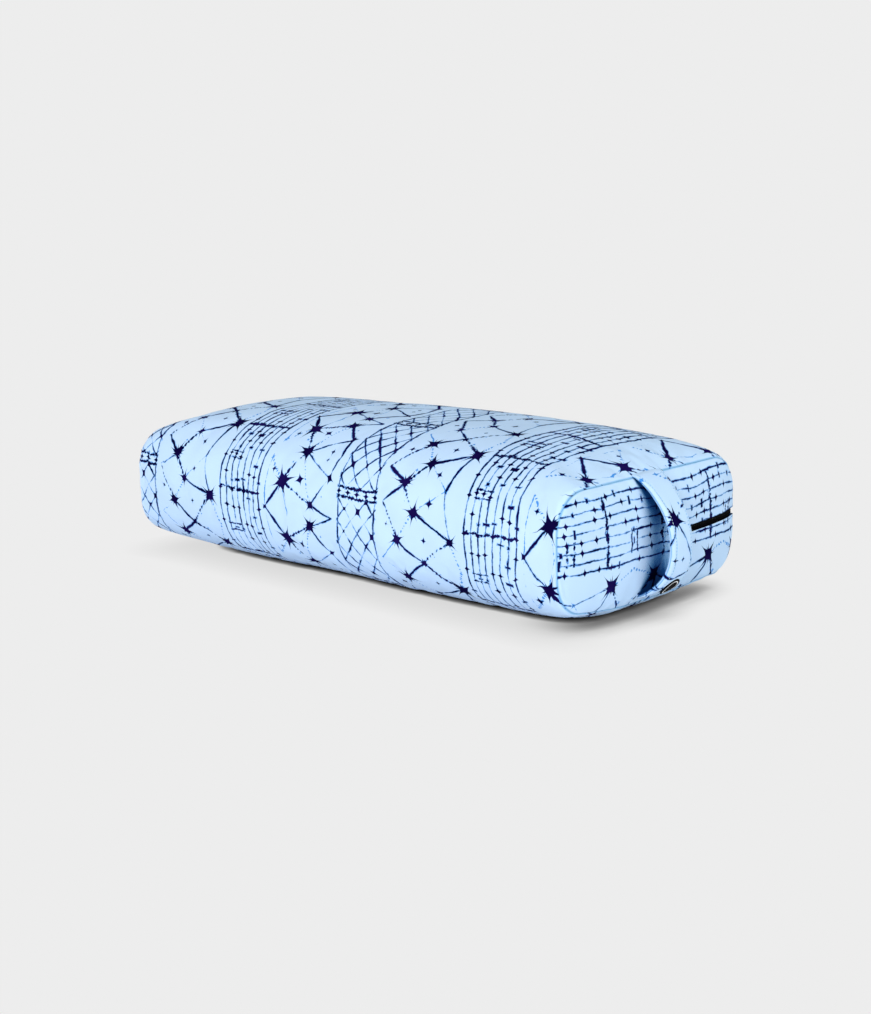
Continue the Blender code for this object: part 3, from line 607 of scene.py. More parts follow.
def zip_path(step=0.0004):
    """Plan line of the tapes' outer face, evenly spaced: points and outward normals."""
    depth = 0.0018
    corner_x = float(panel_x(CHAIN_Y - CHAIN_R)) - depth - CHAIN_R
    pts = [(ZIP_FAR_X, CHAIN_Y), (corner_x, CHAIN_Y)]
    for a in np.radians(np.linspace(2, 84, 30)):
        pts.append((corner_x + CHAIN_R * math.sin(a), CHAIN_Y - CHAIN_R + CHAIN_R * math.cos(a)))
    y0 = pts[-1][1]
    for y in np.linspace(y0, ZIP_NEAR_Y, 60)[1:]:
        pts.append((float(panel_x(y)) - depth, float(y)))
    pts = np.array(pts)
    s = np.r_[0, np.cumsum(np.linalg.norm(np.diff(pts, axis=0), axis=1))]
    q = np.arange(0, s[-1], step)
    x, y = np.interp(q, s, pts[:, 0]), np.interp(q, s, pts[:, 1])
    k = 9
    ker = np.ones(2 * k + 1) / (2 * k + 1)
    xs_, ys_ = np.convolve(np.pad(x, k, mode="edge"), ker, "valid"), np.convolve(np.pad(y, k, mode="edge"), ker, "valid")
    xs_[:k], ys_[:k], xs_[-k:], ys_[-k:] = x[:k], y[:k], x[-k:], y[-k:]
    dx, dy = np.gradient(xs_), np.gradient(ys_)
    l = np.hypot(dx, dy)
    return q, xs_, ys_, -dy / l * -1, dx / l * -1


ZQ, ZX, ZY, ZNX, ZNY = zip_path()
if ZNY[10] < 0:
    ZNX, ZNY = -ZNX, -ZNY


def tape(side):
    """Woven tape: inner edge at the coil, softly waved outer edge."""
    idx = np.arange(0, len(ZQ), 5)
    zz = np.array([0.0008, 0.0011, 0.0018, 0.0026, 0.0030, 0.0034, 0.0042, 0.0055, 0.0070, 0.0085, 0.0098, 0.0108, 0.0113])
    front, back = [], []
    for i in idx:
        wave = 0.00012 * math.sin(ZQ[i] * 900) + 0.00025 * noise1(np.array([ZQ[i]]), 0.03, 101 + side)[0]
        f = np.c_[ZX[i] + ZNX[i] * (-0.00015 + wave * (zz > 0.004)), ZY[i] + ZNY[i] * (-0.00015 + wave * (zz > 0.004)),
                  ZIP_Z + side * zz]
        front.append(f)
        back.append(f - np.array([ZNX[i], ZNY[i], 0]) * 0.00045)
    P = np.concatenate([np.array(front), np.array(back)[:, ::-1]], axis=1)
    n, m = P.shape[:2]
    run = np.tile(ZQ[idx][:, None], (1, m))
    around = np.tile(np.r_[zz, zz[::-1] + 0.03][None], (n, 1))
    faces = grid_faces(n, m, closed=True, flip=(side < 0))
    faces.append(tuple(range(m)))
    faces.append(tuple((n - 1) * m + k for k in range(m))[::-1])
    return mesh_object("zip_tape_upper_weave" if side > 0 else "zip_tape_lower_weave", P.reshape(-1, 3), faces,
                       {"fabric": np.stack([run, around], -1).reshape(-1, 2)})


def coil(side):
    """Nylon coil sewn to a tape: flattened loops whose heads meet the other side's."""
    pitch, turn, sides = 0.00130, 12, 5
    count = int((ZQ[-1] - 0.004) / pitch)
    k = np.arange(count * turn + 1)
    ang = 2 * math.pi * k / turn
    s = 0.0018 + pitch * (k / turn + (0.5 if side < 0 else 0.0)) + 0.00018 * np.sin(2 * ang)
    zc = 0.00118 - 0.00126 * np.cos(ang)                 # from just past the middle out to the tape
    head = np.clip(1 - zc / 0.0008, 0, 1)
    out = 0.00098 + 0.00086 * np.sin(ang) + 0.00006 * head
    out = np.clip(out, 0.00022, 0.0024)
    px = np.interp(s, ZQ, ZX)
    py = np.interp(s, ZQ, ZY)
    nx, ny = np.interp(s, ZQ, ZNX), np.interp(s, ZQ, ZNY)
    C = np.c_[px + nx * out, py + ny * out, ZIP_Z + side * zc]
    T = np.gradient(C, axis=0)
    T /= np.linalg.norm(T, axis=1, keepdims=True)
    ref = np.c_[-ny, nx, np.zeros(len(nx))]
    A = np.cross(T, ref)
    A /= np.linalg.norm(A, axis=1, keepdims=True)
    Bv = np.cross(T, A)
    r = 0.00027 + 0.00005 * head
    rows = []
    for j in range(sides):
        a = 2 * math.pi * j / sides
        rows.append(C + (A * math.cos(a) + Bv * math.sin(a)) * r[:, None])
    P = np.stack(rows, 1)
    n = P.shape[0]
    faces = grid_faces(n, sides, closed=True)
    faces.append(tuple(range(sides))[::-1])
    faces.append(tuple((n - 1) * sides + q for q in range(sides)))
    return mesh_object("zip_coil_upper_loops" if side > 0 else "zip_coil_lower_loops", P.reshape(-1, 3), faces)


zip_pieces = [(tape(1), "zipper_tape_upper", "zip_tape"), (tape(-1), "zipper_tape_lower", "zip_tape"),
              (coil(1), "zipper_coil_upper", "zip_elements"), (coil(-1), "zipper_coil_lower", "zip_elements")]
for ob, node, slot in zip_pieces:
    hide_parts(node)
    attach(ob, "bolster")


def bevelled(node, body, width, name):
    """Copy of a hard CAD piece with its sharp edges eased."""
    src = frame["nodes"][node]
    ob = bpy.data.objects.new(name, src.data.copy())
    ob.matrix_world = src.matrix_world.copy()
    bpy.context.scene.collection.objects.link(ob)
    bm = bmesh.new()
    bm.from_mesh(ob.data)
    bmesh.ops.remove_doubles(bm, verts=bm.verts, dist=1e-6)
    bmesh.ops.dissolve_limit(bm, angle_limit=math.radians(2), verts=bm.verts, edges=bm.edges)
    sharp = [e for e in bm.edges if len(e.link_faces) == 2 and e.calc_face_angle() > math.radians(35)]
    bmesh.ops.bevel(bm, geom=sharp, offset=width, segments=3, profile=0.7, affect="EDGES", clamp_overlap=True)
    bm.to_mesh(ob.data)
    bm.free()
    ob.data.shade_smooth()
    ob.data.set_sharp_from_angle(angle=math.radians(40))
    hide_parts(node)
    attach(ob, body)
    return ob


metal_pieces = [bevelled("zipper_slider", "slider", 0.00022, "zip_slider_body"),
                bevelled("zipper_pull", "pull", 0.00030, "zip_pull_tab"),
                bevelled("zipper_stop_far", "bolster", 0.00030, "zip_stop_far_clip"),
                bevelled("zipper_stop_near", "bolster", 0.00030, "zip_stop_near_clip")]

# ------------------------------------------------------------------ node expressions
class E:
    """A value in a node tree, so that formulas read as formulas."""
    nt = None

    def __init__(self, v):
        self.v = v

    @staticmethod
    def math(op, *args):
        n = E.nt.nodes.new("ShaderNodeMath")
        n.operation = op
        for k, a in enumerate(args):
            a = a.v if isinstance(a, E) else a
            if isinstance(a, (int, float)):
                n.inputs[k].default_value = float(a)
            else:
                E.nt.links.new(a, n.inputs[k])
        return E(n.outputs[0])

    def __add__(s, o): return E.math("ADD", s, o)
    def __radd__(s, o): return E.math("ADD", o, s)
    def __sub__(s, o): return E.math("SUBTRACT", s, o)
    def __rsub__(s, o): return E.math("SUBTRACT", o, s)
    def __mul__(s, o): return E.math("MULTIPLY", s, o)
    def __rmul__(s, o): return E.math("MULTIPLY", o, s)
    def __truediv__(s, o): return E.math("DIVIDE", s, o)
    def __pow__(s, o): return E.math("POWER", s, o)
    def __neg__(s): return E.math("MULTIPLY", s, -1.0)
    def abs(s): return E.math("ABSOLUTE", s)
    def sin(s): return E.math("SINE", s)
    def cos(s): return E.math("COSINE", s)
    def sqrt(s): return E.math("SQRT", s)
    def floor(s): return E.math("FLOOR", s)
    def lt(s, o): return E.math("LESS_THAN", s, o)
    def gt(s, o): return E.math("GREATER_THAN", s, o)
    def mod(s, o): return E.math("FLOORED_MODULO", s, o)


def emin(a, b): return E.math("MINIMUM", a, b)
def emax(a, b): return E.math("MAXIMUM", a, b)


def centred(v, period):
    """Distance to the nearest multiple of a period, signed."""
    return (v + period / 2).mod(period) - period / 2


def smooth(v, a, b, to0=0.0, to1=1.0):
    n = E.nt.nodes.new("ShaderNodeMapRange")
    n.interpolation_type = "SMOOTHSTEP"
    E.nt.links.new(v.v, n.inputs["Value"])
    for key, val in (("From Min", a), ("From Max", b), ("To Min", to0), ("To Max", to1)):
        if isinstance(val, E):
            E.nt.links.new(val.v, n.inputs[key])
        else:
            n.inputs[key].default_value = val
    return E(n.outputs["Result"])


def vec(x, y, z=0.0):
    n = E.nt.nodes.new("ShaderNodeCombineXYZ")
    for k, a in enumerate((x, y, z)):
        a = a.v if isinstance(a, E) else a
        if isinstance(a, (int, float)):
            n.inputs[k].default_value = float(a)
        else:
            E.nt.links.new(a, n.inputs[k])
    return n.outputs[0]


def noise(v, scale, detail=1.0, rough=0.5, colour=False):
    n = E.nt.nodes.new("ShaderNodeTexNoise")
    n.inputs["Scale"].default_value = scale
    n.inputs["Detail"].default_value = detail
    n.inputs["Roughness"].default_value = rough
    E.nt.links.new(v, n.inputs["Vector"])
    if colour:
        s = E.nt.nodes.new("ShaderNodeSeparateColor")
        E.nt.links.new(n.outputs["Color"], s.inputs[0])
        return [E(s.outputs[k]) for k in range(3)]
    return E(n.outputs[0])


def white(x, y, z=0.0):
    n = E.nt.nodes.new("ShaderNodeTexWhiteNoise")
    n.noise_dimensions = "3D"
    E.nt.links.new(vec(x, y, z), n.inputs["Vector"])
    s = E.nt.nodes.new("ShaderNodeSeparateColor")
    E.nt.links.new(n.outputs["Color"], s.inputs[0])
    return E(n.outputs["Value"]), E(s.outputs[0]), E(s.outputs[1]), E(s.outputs[2])


# ------------------------------------------------------------------ the print
def vm(op, a, b):
    n = E.nt.nodes.new("ShaderNodeVectorMath")
    n.operation = op
    for k, v in enumerate((a, b)):
        if isinstance(v, tuple):
            n.inputs[k].default_value = v
        else:
            E.nt.links.new(v, n.inputs[k])
    return n


def stroke(P, p, q, mid, end, bead=0.0, pitch=5.0, wander=0.0):
    """Ink of a brushed straight stroke: half widths at its middle and ends, in millimetres."""
    (x1, y1), (x2, y2) = p, q
    h = math.hypot(x2 - x1, y2 - y1) / 2
    dx, dy = (x2 - x1) / 2 / h, (y2 - y1) / 2 / h
    d = vm("SUBTRACT", P, ((x1 + x2) / 2, (y1 + y2) / 2, 0.0)).outputs["Vector"]
    u = E(vm("DOT_PRODUCT", d, (dx, dy, 0.0)).outputs["Value"])
    v = E(vm("DOT_PRODUCT", d, (-dy, dx, 0.0)).outputs["Value"])
    au = u.abs() / h
    width = E.math("MULTIPLY_ADD", au * au, end - mid, mid)
    if bead:
        width = E.math("MULTIPLY_ADD", (u * (2 * math.pi / pitch) + wander).sin(), bead, width)
    over = emax(au - 1.0, 0.0)
    return E.math("MULTIPLY_ADD", over, -h, width) - v.abs()


def knot(P, at, size, arm1=(1.0, 0.15), arm2=(0.1, 1.0), wide=0.62, thin=0.5):
    """Ink of a tied knot: a small star whose arms lie along two directions."""
    d = vm("SUBTRACT", P, (at[0], at[1], 0.0)).outputs["Vector"]

    def unit(x, y):
        k = math.hypot(x, y)
        return (x / k, y / k)
    (ax, ay), (bx, by) = unit(*arm1), unit(*arm2)
    s = E(vm("DOT_PRODUCT", d, (-ay, ax, 0.0)).outputs["Value"]).abs() ** thin
    t = E(vm("DOT_PRODUCT", d, (-by, bx, 0.0)).outputs["Value"]).abs() ** thin
    return emin((size - (s + t) ** (1 / thin)) * wide, 2.5)


def burst(P, at, size, turn=0.0):
    """Ink of a large knot: a star of eight spikes, four long and four short."""
    c, s = math.cos(turn), math.sin(turn)
    long_arms = knot(P, at, size * 1.45, (c, s), (-s, c), 0.5, 0.40)
    short_arms = knot(P, at, size * 1.0, (c - s, s + c), (-s - c, c - s), 0.7, 0.40)
    return emax(long_arms, short_arms)


def print_group():
    """Generic resist-dyed line print. In: fabric coordinates in metres. Out: two ink fields."""
    g = bpy.data.node_groups.new("resist_print", "ShaderNodeTree")
    g.interface.new_socket("UV", in_out="INPUT", socket_type="NodeSocketVector")
    g.interface.new_socket("Dark", in_out="OUTPUT", socket_type="NodeSocketFloat")
    g.interface.new_socket("Blue", in_out="OUTPUT", socket_type="NodeSocketFloat")
    E.nt = g
    gi = g.nodes.new("NodeGroupInput")
    go = g.nodes.new("NodeGroupOutput")
    sep = g.nodes.new("ShaderNodeSeparateXYZ")
    g.links.new(gi.outputs[0], sep.inputs[0])
    a0, b0 = E(sep.outputs[0]) * 1000.0, E(sep.outputs[1]) * 1000.0

    # hand-drawn wobble
    base = vec(a0 * 0.01, b0 * 0.01)
    w1 = noise(base, 1.2, 1.0, colour=True)
    w2 = noise(base, 11.0, 1.0, colour=True)
    a = a0 + (w1[0] - 0.5) * 15.0 + (w2[0] - 0.5) * 2.0
    b = b0 + (w1[1] - 0.5) * 15.0 + (w2[1] - 0.5) * 2.0
    vary = noise(vec(a0 * 0.01, b0 * 0.01, 3.7), 4.5, 1.0)       # pressure of the dye along a line
    grain = noise(vec(a0 * 0.01, b0 * 0.01, 9.1), 36.0, 2.0)
    wander = vary * 14.0 + w2[2] * 16.0                         # uneven spacing of dots and dashes

    Q = 364.0
    p = (a + 163.0).mod(Q)
    col = ((a + 163.0) / Q).floor()

    def inside(lo, hi, field):
        return emin(field, emin(p - lo, hi - p))

    darks, blues = [], []

    # nets of straight strokes between knots, mirrored as folded cloth prints
    def net(lo, width, fold, shift, seed, strokes, knots, dots):
        c = (b + shift) / fold
        cell = c.floor()
        y = centred(b + shift, 2 * fold).abs()
        x = p - lo
        P = vec(x, y)
        pick = white(cell + 0.3, col * 3.0 + seed, 0.5)
        pick2 = white(cell + 7.3, col * 5.0 + seed, 1.5)
        rnd = [pick[1], pick[2], pick[3], pick2[1], pick2[2], pick2[3]]
        dark = blue = None
        for k, (s, e, mid, end, kind) in enumerate(strokes):
            bead = {"line": 0.0, "beads": 0.75, "blue": 0.0, "dots": 1.1}[kind]
            pitch = {"beads": 6.3, "dots": 4.1}.get(kind, 5.0)
            thick = 0.10
            ink = stroke(P, s, e, mid * 1.25 + thick, end * 1.25 + thick, bead, pitch, wander)
            ink = ink + (rnd[k % 6] - 0.5) * 0.9
            if kind in ("blue", "dots"):
                blue = ink if blue is None else emax(blue, ink)
            else:
                dark = ink if dark is None else emax(dark, ink)
        for k, (at, size, arm1, arm2) in enumerate(knots):
            reach = rnd[(k + 2) % 6] * (size * 0.8) + size * 0.88
            if size > 6:
                dark = emax(dark, burst(P, at, reach * 1.15, 0.35 + 0.5 * k))
                dark = emax(dark, knot(P, at, reach * 0.8, arm1, arm2))
            else:
                dark = emax(dark, knot(P, at, reach, arm1, arm2))
        for k, (at, size, arm1, arm2) in enumerate(dots):
            blue = emax(blue, knot(P, at, rnd[(k + 4) % 6] * size + size * 0.35, arm1, arm2))
        hi = lo + width
        darks.append(inside(lo - 1, hi + 1, dark + (vary - 0.5) * 3.4))
        blues.append(inside(lo - 1, hi + 1, blue + (vary - 0.5) * 2.4))

    net(74.0, 110.0, 67.0, 0.0, 1.0,
        strokes=[((4, 0), (33, 31), 1.05, 0.35, "line"), ((33, 31), (52, 67), 0.25, 0.8, "beads"),
                 ((33, 31), (75, 12), 0.15, 0.55, "beads"), ((75, 12), (101, 42), 0.9, 0.2, "line"),
                 ((101, 42), (52, 67), 0.0, 0.5, "line"), ((75, 12), (108, 0), 0.2, 0.5, "line"),
                 ((101, 42), (106, 67), 0.7, 0.1, "line"),
                 ((8, 56), (33, 31), 0.1, 0.3, "dots"), ((4, 0), (8, 56), -0.1, 0.2, "blue"),
                 ((52, 67), (75, 12), -0.2, 0.3, "dots"), ((33, 31), (40, 0), 0.0, 0.5, "blue")],
        knots=[((33, 31), 9.5, (1, 1), (-0.4, 1)), ((75, 12), 8.0, (1, -0.3), (0.6, 1)),
               ((101, 42), 6.0, (0.2, 1), (1, -0.5)), ((52, 67), 8.5, (1, 0.0), (0.0, 1)),
               ((4, 0), 5.0, (1, 1), (1, -1)), ((17, 44), 3.6, (1, 0.1), (0, 1)),
               ((57, 36), 4.4, (1, 0.5), (-0.4, 1)), ((88, 62), 2.6, (1, 0), (0.2, 1))],
        dots=[((8, 56), 4.0, (1, 0.4), (-0.3, 1)), ((40, 52), 2.5, (1, 1), (-1, 1)), ((92, 22), 2.8, (1, 0), (0, 1))])

    net(252.0, 108.0, 78.0, 31.0, 2.0,
        strokes=[((4, 60), (30, 78), 0.9, 0.3, "line"), ((4, 60), (27, 22), 0.1, 0.5, "beads"),
                 ((27, 22), (58, 0), 1.0, 0.3, "line"), ((58, 0), (96, 30), 0.2, 0.6, "beads"),
                 ((50, 50), (96, 30), 0.8, 0.25, "line"), ((50, 50), (30, 78), 0.35, 0.6, "beads"),
                 ((96, 30), (84, 78), 0.3, 0.6, "line"),
                 ((27, 22), (50, 50), -0.1, 0.3, "dots"), ((50, 50), (84, 78), 0.0, 0.3, "blue"),
                 ((96, 30), (106, 0), 0.0, 0.3, "dots"), ((27, 22), (2, 0), 0.0, 0.3, "blue")],
        knots=[((27, 22), 8.0, (1, -0.6), (-0.2, 1)), ((96, 30), 9.0, (1, 0.4), (-0.3, 1)),
               ((50, 50), 7.0, (1, -0.5), (0.5, 1)), ((30, 78), 7.5, (1, 0), (0, 1)),
               ((58, 0), 5.5, (1, 0), (0, 1)), ((68, 62), 4.0, (1, 0.3), (-0.2, 1)),
               ((64, 24), 3.0, (1, 0), (0, 1)), ((10, 36), 3.4, (0.3, 1), (1, -0.2))],
        dots=[((84, 78), 4.5, (1, 1), (-1, 1)), ((76, 10), 2.4, (1, 0.5), (-0.5, 1)), ((36, 62), 2.4, (1, 0), (0, 1))])

    # fine girth-wise rules with beads, ticks and rungs
    def rules(lo, count, gap, seed):
        q = p - lo
        line = (q / gap + 0.5).floor()
        d = centred(q, gap).abs()
        width = (count - 1) * gap
        edge = emax(line.lt(0.5), line.gt(count - 1.5))
        run = noise(vec(line * 3.1 + seed, b * 0.02, col), 2.0, 1.0)
        w = (run - 0.42) * 3.0 + edge * 0.30 + 0.14
        ink = w - d
        cell = (b / 19.0).floor()
        rt = white(line, cell, seed + 3.0)
        ty = (b - cell * 19.0 - 9.5 + (rt[1] - 0.5) * 11.0).abs()
        reach = 1.2 + rt[2] * 3.8
        tick = emin((0.75 + rt[3] * 0.9) - ty, (reach - d) * 0.6)
        ink = emax(ink, emin(tick, rt[0].gt(0.72) * 4.0 - 2.0))
        m = ty.sqrt() + d.sqrt()
        bead = 5.2 - m * m
        ink = emax(ink, emin(bead, rt[0].lt(0.42) * 4.0 - 2.0))
        by = centred(b - 14.0, 84.0).abs()
        rung = (grain - 0.46) * 6.0 + 1.0 - by
        ink = emax(ink, emin(rung, emin(q + 1.0, width + 1.0 - q)))
        by2 = centred(b - 52.0 , 84.0).abs()
        half = emin(q - gap * 0.8, gap * 3.2 - q)
        ink = emax(ink, emin((grain - 0.5) * 5.0 + 0.7 - (by2 - 4.0).abs(), half))
        darks.append(inside(lo - 3.2, lo + width + 3.2, ink))

    rules(3.0, 8, 9.3, 1.0)

    # slanted lattice with knots where the lines cross
    def lattice(lo, width, seed):
        q = p - lo
        k = 0.86
        s1 = centred(q + b * k, 21.0).abs() * 0.76
        s2 = centred(q - b * k, 21.0).abs() * 0.76
        run = noise(vec(q * 0.05, b * 0.02, seed + 2.0), 1.6, 1.0)
        ink = (run - 0.47) * 4.2 + 0.16 - emin(s1, s2)
        m = s1.sqrt() + s2.sqrt()
        i1 = ((q + b * k) / 21.0 + 0.5).floor()
        i2 = ((q - b * k) / 21.0 + 0.5).floor()
        r = white(i1, i2, seed)
        ink = emax(ink, (r[1] * 9.0 - 0.8 - m * m) * 0.7)
        rail = emin((q - 1.5).abs(), (width - 1.5 - q).abs())
        ink = emax(ink, (vary - 0.42) * 3.0 + 0.35 - rail)
        # cross bars now and then
        by = centred(b - 31.0, 117.0)
        ink = emin(ink, by.abs() - 5.5)
        ink = emax(ink, (grain - 0.45) * 5.0 + 1.0 - (by.abs() - 5.0).abs())
        m2 = (by.abs() * 0.9).sqrt() + centred(q - width / 2, 13.0).abs().sqrt()
        ink = emax(ink, (5.4 - m2 * m2) * 0.7)
        darks.append(inside(lo - 0.5, lo + width + 0.5, ink))

    lattice(190.0, 56.0, 4.0)

    ink = darks[0]
    for i in darks[1:]:
        ink = emax(ink, i)
    thin = blues[0]
    for i in blues[1:]:
        thin = emax(thin, i)
    ink = ink + (grain - 0.5) * 1.5 + E(sep.outputs[2])
    thin = thin + (grain - 0.5) * 2.2
    patch = noise(base, 20.0, 1.0)
    dark = smooth(ink, -0.11, 0.25)
    halo = emax(smooth(ink, -1.25, -0.25) * smooth(patch, 0.38, 0.64, 0.0, 0.80), smooth(ink, -0.60, -0.06) * 0.90)
    blue = emax(halo, smooth(thin, -0.30, 0.25))
    g.links.new(dark.v, go.inputs[0])
    g.links.new(blue.v, go.inputs[1])
    return g


PRINT = print_group()


def new_material(name):
    mat = bpy.data.materials.new(name)
    mat.use_nodes = True
    E.nt = mat.node_tree
    return mat, mat.node_tree, mat.node_tree.nodes["Principled BSDF"]


def lin(r, g, b):
    """sRGB 0-255 to linear."""
    out = []
    for c in (r, g, b):
        c = c / 255
        out.append(c / 12.92 if c <= 0.04045 else ((c + 0.055) / 1.055) ** 2.4)
    return (*out, 1.0)


def mix(fac, a, b):
    n = E.nt.nodes.new("ShaderNodeMix")
    n.data_type = "RGBA"
    if isinstance(fac, E):
        E.nt.links.new(fac.v, n.inputs[0])
    else:
        n.inputs[0].default_value = fac
    for k, c in ((6, a), (7, b)):
        if isinstance(c, tuple):
            n.inputs[k].default_value = c
        else:
            E.nt.links.new(c, n.inputs[k])
    return n.outputs[2]


def bump(nt, bsdf, height, strength=1.0):
    n = nt.nodes.new("ShaderNodeBump")
    n.inputs["Strength"].default_value = strength
    n.inputs["Distance"].default_value = 1.0
    nt.links.new(height.v, n.inputs["Height"])
    nt.links.new(n.outputs[0], bsdf.inputs["Normal"])


def uv_of(nt, layer):
    uv = nt.nodes.new("ShaderNodeUVMap")
    uv.uv_map = layer
    sep = nt.nodes.new("ShaderNodeSeparateXYZ")
    nt.links.new(uv.outputs[0], sep.inputs[0])
    return uv, E(sep.outputs[0]), E(sep.outputs[1])


def object_coords(nt):
    tc = nt.nodes.new("ShaderNodeTexCoord")
    return tc.outputs["Object"]


BASE = (175, 205, 237)
# painted shade: the range of ambient occlusion over which the cloth's colour goes from darkest to full
PAINTED_SHADE_RANGE = (0.31, 0.74)          # openness at which a fold is darkest, and from which it has full colour


def microfibre(name, base=BASE):
    """Printed brushed knit: short pile over a fine weave, with painted shade in folds, in the gap behind the strap and
    along seams and grooves.
    """
    mat, nt, bsdf = new_material(name)
    uv, a, b = uv_of(nt, "fabric")
    cloud = noise(vec(a, b, 0.3), 22.0, 2.0)
    fine = noise(vec(a, b, 1.3), 950.0, 2.0, 0.6)
    light = tuple(min(1.0, c * 1.02) for c in lin(*base)[:3]) + (1.0,)
    dull = tuple(c * 0.97 for c in lin(*base)[:3]) + (1.0,)
    pale = tuple(min(1.0, c * 1.10 + 0.01) for c in lin(*base)[:3]) + (1.0,)
    colour = mix(smooth(cloud, 0.30, 0.72), dull, light)
    colour = mix(smooth(fine, 0.45, 0.80, 0.0, 0.45), colour, pale)
    grp = nt.nodes.new("ShaderNodeGroup")
    grp.node_tree = PRINT
    bold = nt.nodes.new("ShaderNodeAttribute")
    bold.attribute_name = "bold"
    nt.links.new(vec(a, b, E(bold.outputs["Fac"]) * 0.40), grp.inputs[0])
    dark, blue = E(grp.outputs[0]), E(grp.outputs[1])
    colour = mix(blue * 0.92, colour, lin(24, 124, 208))
    deep = mix(smooth(cloud, 0.35, 0.65), lin(6, 2, 46), lin(22, 12, 72))
    colour = mix(dark, colour, deep)
    # painted shade: where the cloth's surroundings close in within 32 mm (folds, the gap behind the strap, the strap's
    # roots), its colour is multiplied towards a deep blue-black, most in red and least in blue
    near = nt.nodes.new("ShaderNodeAmbientOcclusion")
    near.samples = 12
    near.inputs["Distance"].default_value = 0.032
    # painted shade along seams and strap grooves, read from a vertex attribute, darkens the colour further
    line = nt.nodes.new("ShaderNodeAttribute")
    line.attribute_name = "painted_seam_shade"
    painted_shade_factor = smooth(E(near.outputs["AO"]), PAINTED_SHADE_RANGE[0], PAINTED_SHADE_RANGE[1], 0.20, 1.0) * (1.0 - E(line.outputs["Fac"]) * 0.34)
    painted_shade_tint = vec(painted_shade_factor ** 3.3, painted_shade_factor ** 1.7, painted_shade_factor)
    n = nt.nodes.new("ShaderNodeMix")
    n.data_type, n.blend_type = "RGBA", "MULTIPLY"
    n.inputs[0].default_value = 1.0
    nt.links.new(colour, n.inputs[6])
    nt.links.new(painted_shade_tint, n.inputs[7])
    nt.links.new(n.outputs[2], bsdf.inputs["Base Color"])
    # sheen and specular are turned down on dark print and under the painted shade
    bare_and_unshaded = painted_shade_factor * (1.0 - dark)
    nt.links.new((bare_and_unshaded * 0.05).v, bsdf.inputs["Sheen Weight"])
    bsdf.inputs["Sheen Roughness"].default_value = 0.45
    nt.links.new((bare_and_unshaded * 0.16 + 0.01).v, bsdf.inputs["Specular IOR Level"])
    nt.links.new(smooth(fine, 0.2, 0.8, 0.82, 0.94).v, bsdf.inputs["Roughness"])
    weave = (a * (2 * math.pi / 0.00080)).sin() * (b * (2 * math.pi / 0.00080)).sin()
    h = fine * 0.00009 + weave * 0.000012 + noise(vec(a, b, 5.0), 150.0, 2.0) * 0.00014
    bump(nt, bsdf, h, 0.55)
    return mat


def surface(name, rgb, rough, metal=0.0, scale=400.0, depth=0.0002, vary=0.85, specular=0.5, detail=3.0):
    """Plain stuff with grain: its colour, roughness and height vary with one noise."""
    mat, nt, bsdf = new_material(name)
    n = noise(object_coords(nt), scale, detail)
    colour = mix(smooth(n, 0.3, 0.7), tuple(c * vary for c in lin(*rgb)[:3]) + (1.0,), lin(*rgb))
    nt.links.new(colour, bsdf.inputs["Base Color"])
    nt.links.new(smooth(n, 0.2, 0.8, rough - 0.07, rough + 0.07).v, bsdf.inputs["Roughness"])
    bsdf.inputs["Metallic"].default_value = metal
    bsdf.inputs["Specular IOR Level"].default_value = specular
    bump(nt, bsdf, n * depth, 0.5)
    return mat


def tape_weave(name):
    """Black herringbone tape, painted darker in the grooves of its twill."""
    mat, nt, bsdf = new_material(name)
    uv, a, b = uv_of(nt, "fabric")
    twill = ((a + centred(b, 0.0022).abs()) * (2 * math.pi / 0.00075)).sin()
    wear = noise(vec(a, b, 0.0), 120.0, 2.0)
    # painted shade: the colour is darker where the twill bump is low, in the grooves
    colour = mix(smooth(twill, -0.6, 0.9), lin(1, 1, 1), lin(5, 5, 6))
    colour = mix(smooth(wear, 0.45, 0.75, 0.0, 0.35), colour, lin(9, 9, 11))
    nt.links.new(colour, bsdf.inputs["Base Color"])
    nt.links.new(smooth(twill, -1.0, 1.0, 0.95, 0.86).v, bsdf.inputs["Roughness"])
    bsdf.inputs["Specular IOR Level"].default_value = 0.04
    bump(nt, bsdf, twill * 0.00004, 0.6)
    return mat


def thread_mat(name, rgb):
    """Two-ply sewing thread, painted darker in the grooves between its plies."""
    mat, nt, bsdf = new_material(name)
    uv, a, b = uv_of(nt, "thread")
    ply = ((a * 2.0 + b) * (2 * math.pi * 2)).sin()
    # painted shade: the colour is darker where the ply bump is low, in the grooves
    colour = mix(smooth(ply, -0.7, 0.7), tuple(c * 0.8 for c in lin(*rgb)[:3]) + (1.0,), lin(*rgb))
    nt.links.new(colour, bsdf.inputs["Base Color"])
    nt.links.new(smooth(ply, -1.0, 1.0, 0.62, 0.48).v, bsdf.inputs["Roughness"])
    bump(nt, bsdf, ply * 0.00004, 0.5)
    return mat


def badge_mat(name):
    """Moulded black disc with a plain pale ring."""
    mat, nt, bsdf = new_material(name)
    uv, a, b = uv_of(nt, "disc")
    x, y = a - 0.5, b - 0.5
    r = (x * x + y * y).sqrt() / 0.49
    band = emin(r - 0.715, 0.805 - r)
    grain = noise(vec(a, b, 0.0), 60.0, 3.0)
    fac = smooth(band + (grain - 0.5) * 0.012, -0.006, 0.006)
    black = mix(smooth(grain, 0.3, 0.7), lin(5, 5, 6), lin(12, 12, 14))
    white = mix(smooth(grain, 0.3, 0.7), lin(214, 218, 222), lin(238, 240, 242))
    nt.links.new(mix(fac, black, white), bsdf.inputs["Base Color"])
    nt.links.new(smooth(grain, 0.2, 0.8, 0.78, 0.90).v, bsdf.inputs["Roughness"])
    bsdf.inputs["Specular IOR Level"].default_value = 0.06
    bump(nt, bsdf, grain * 0.00005, 0.4)
    return mat


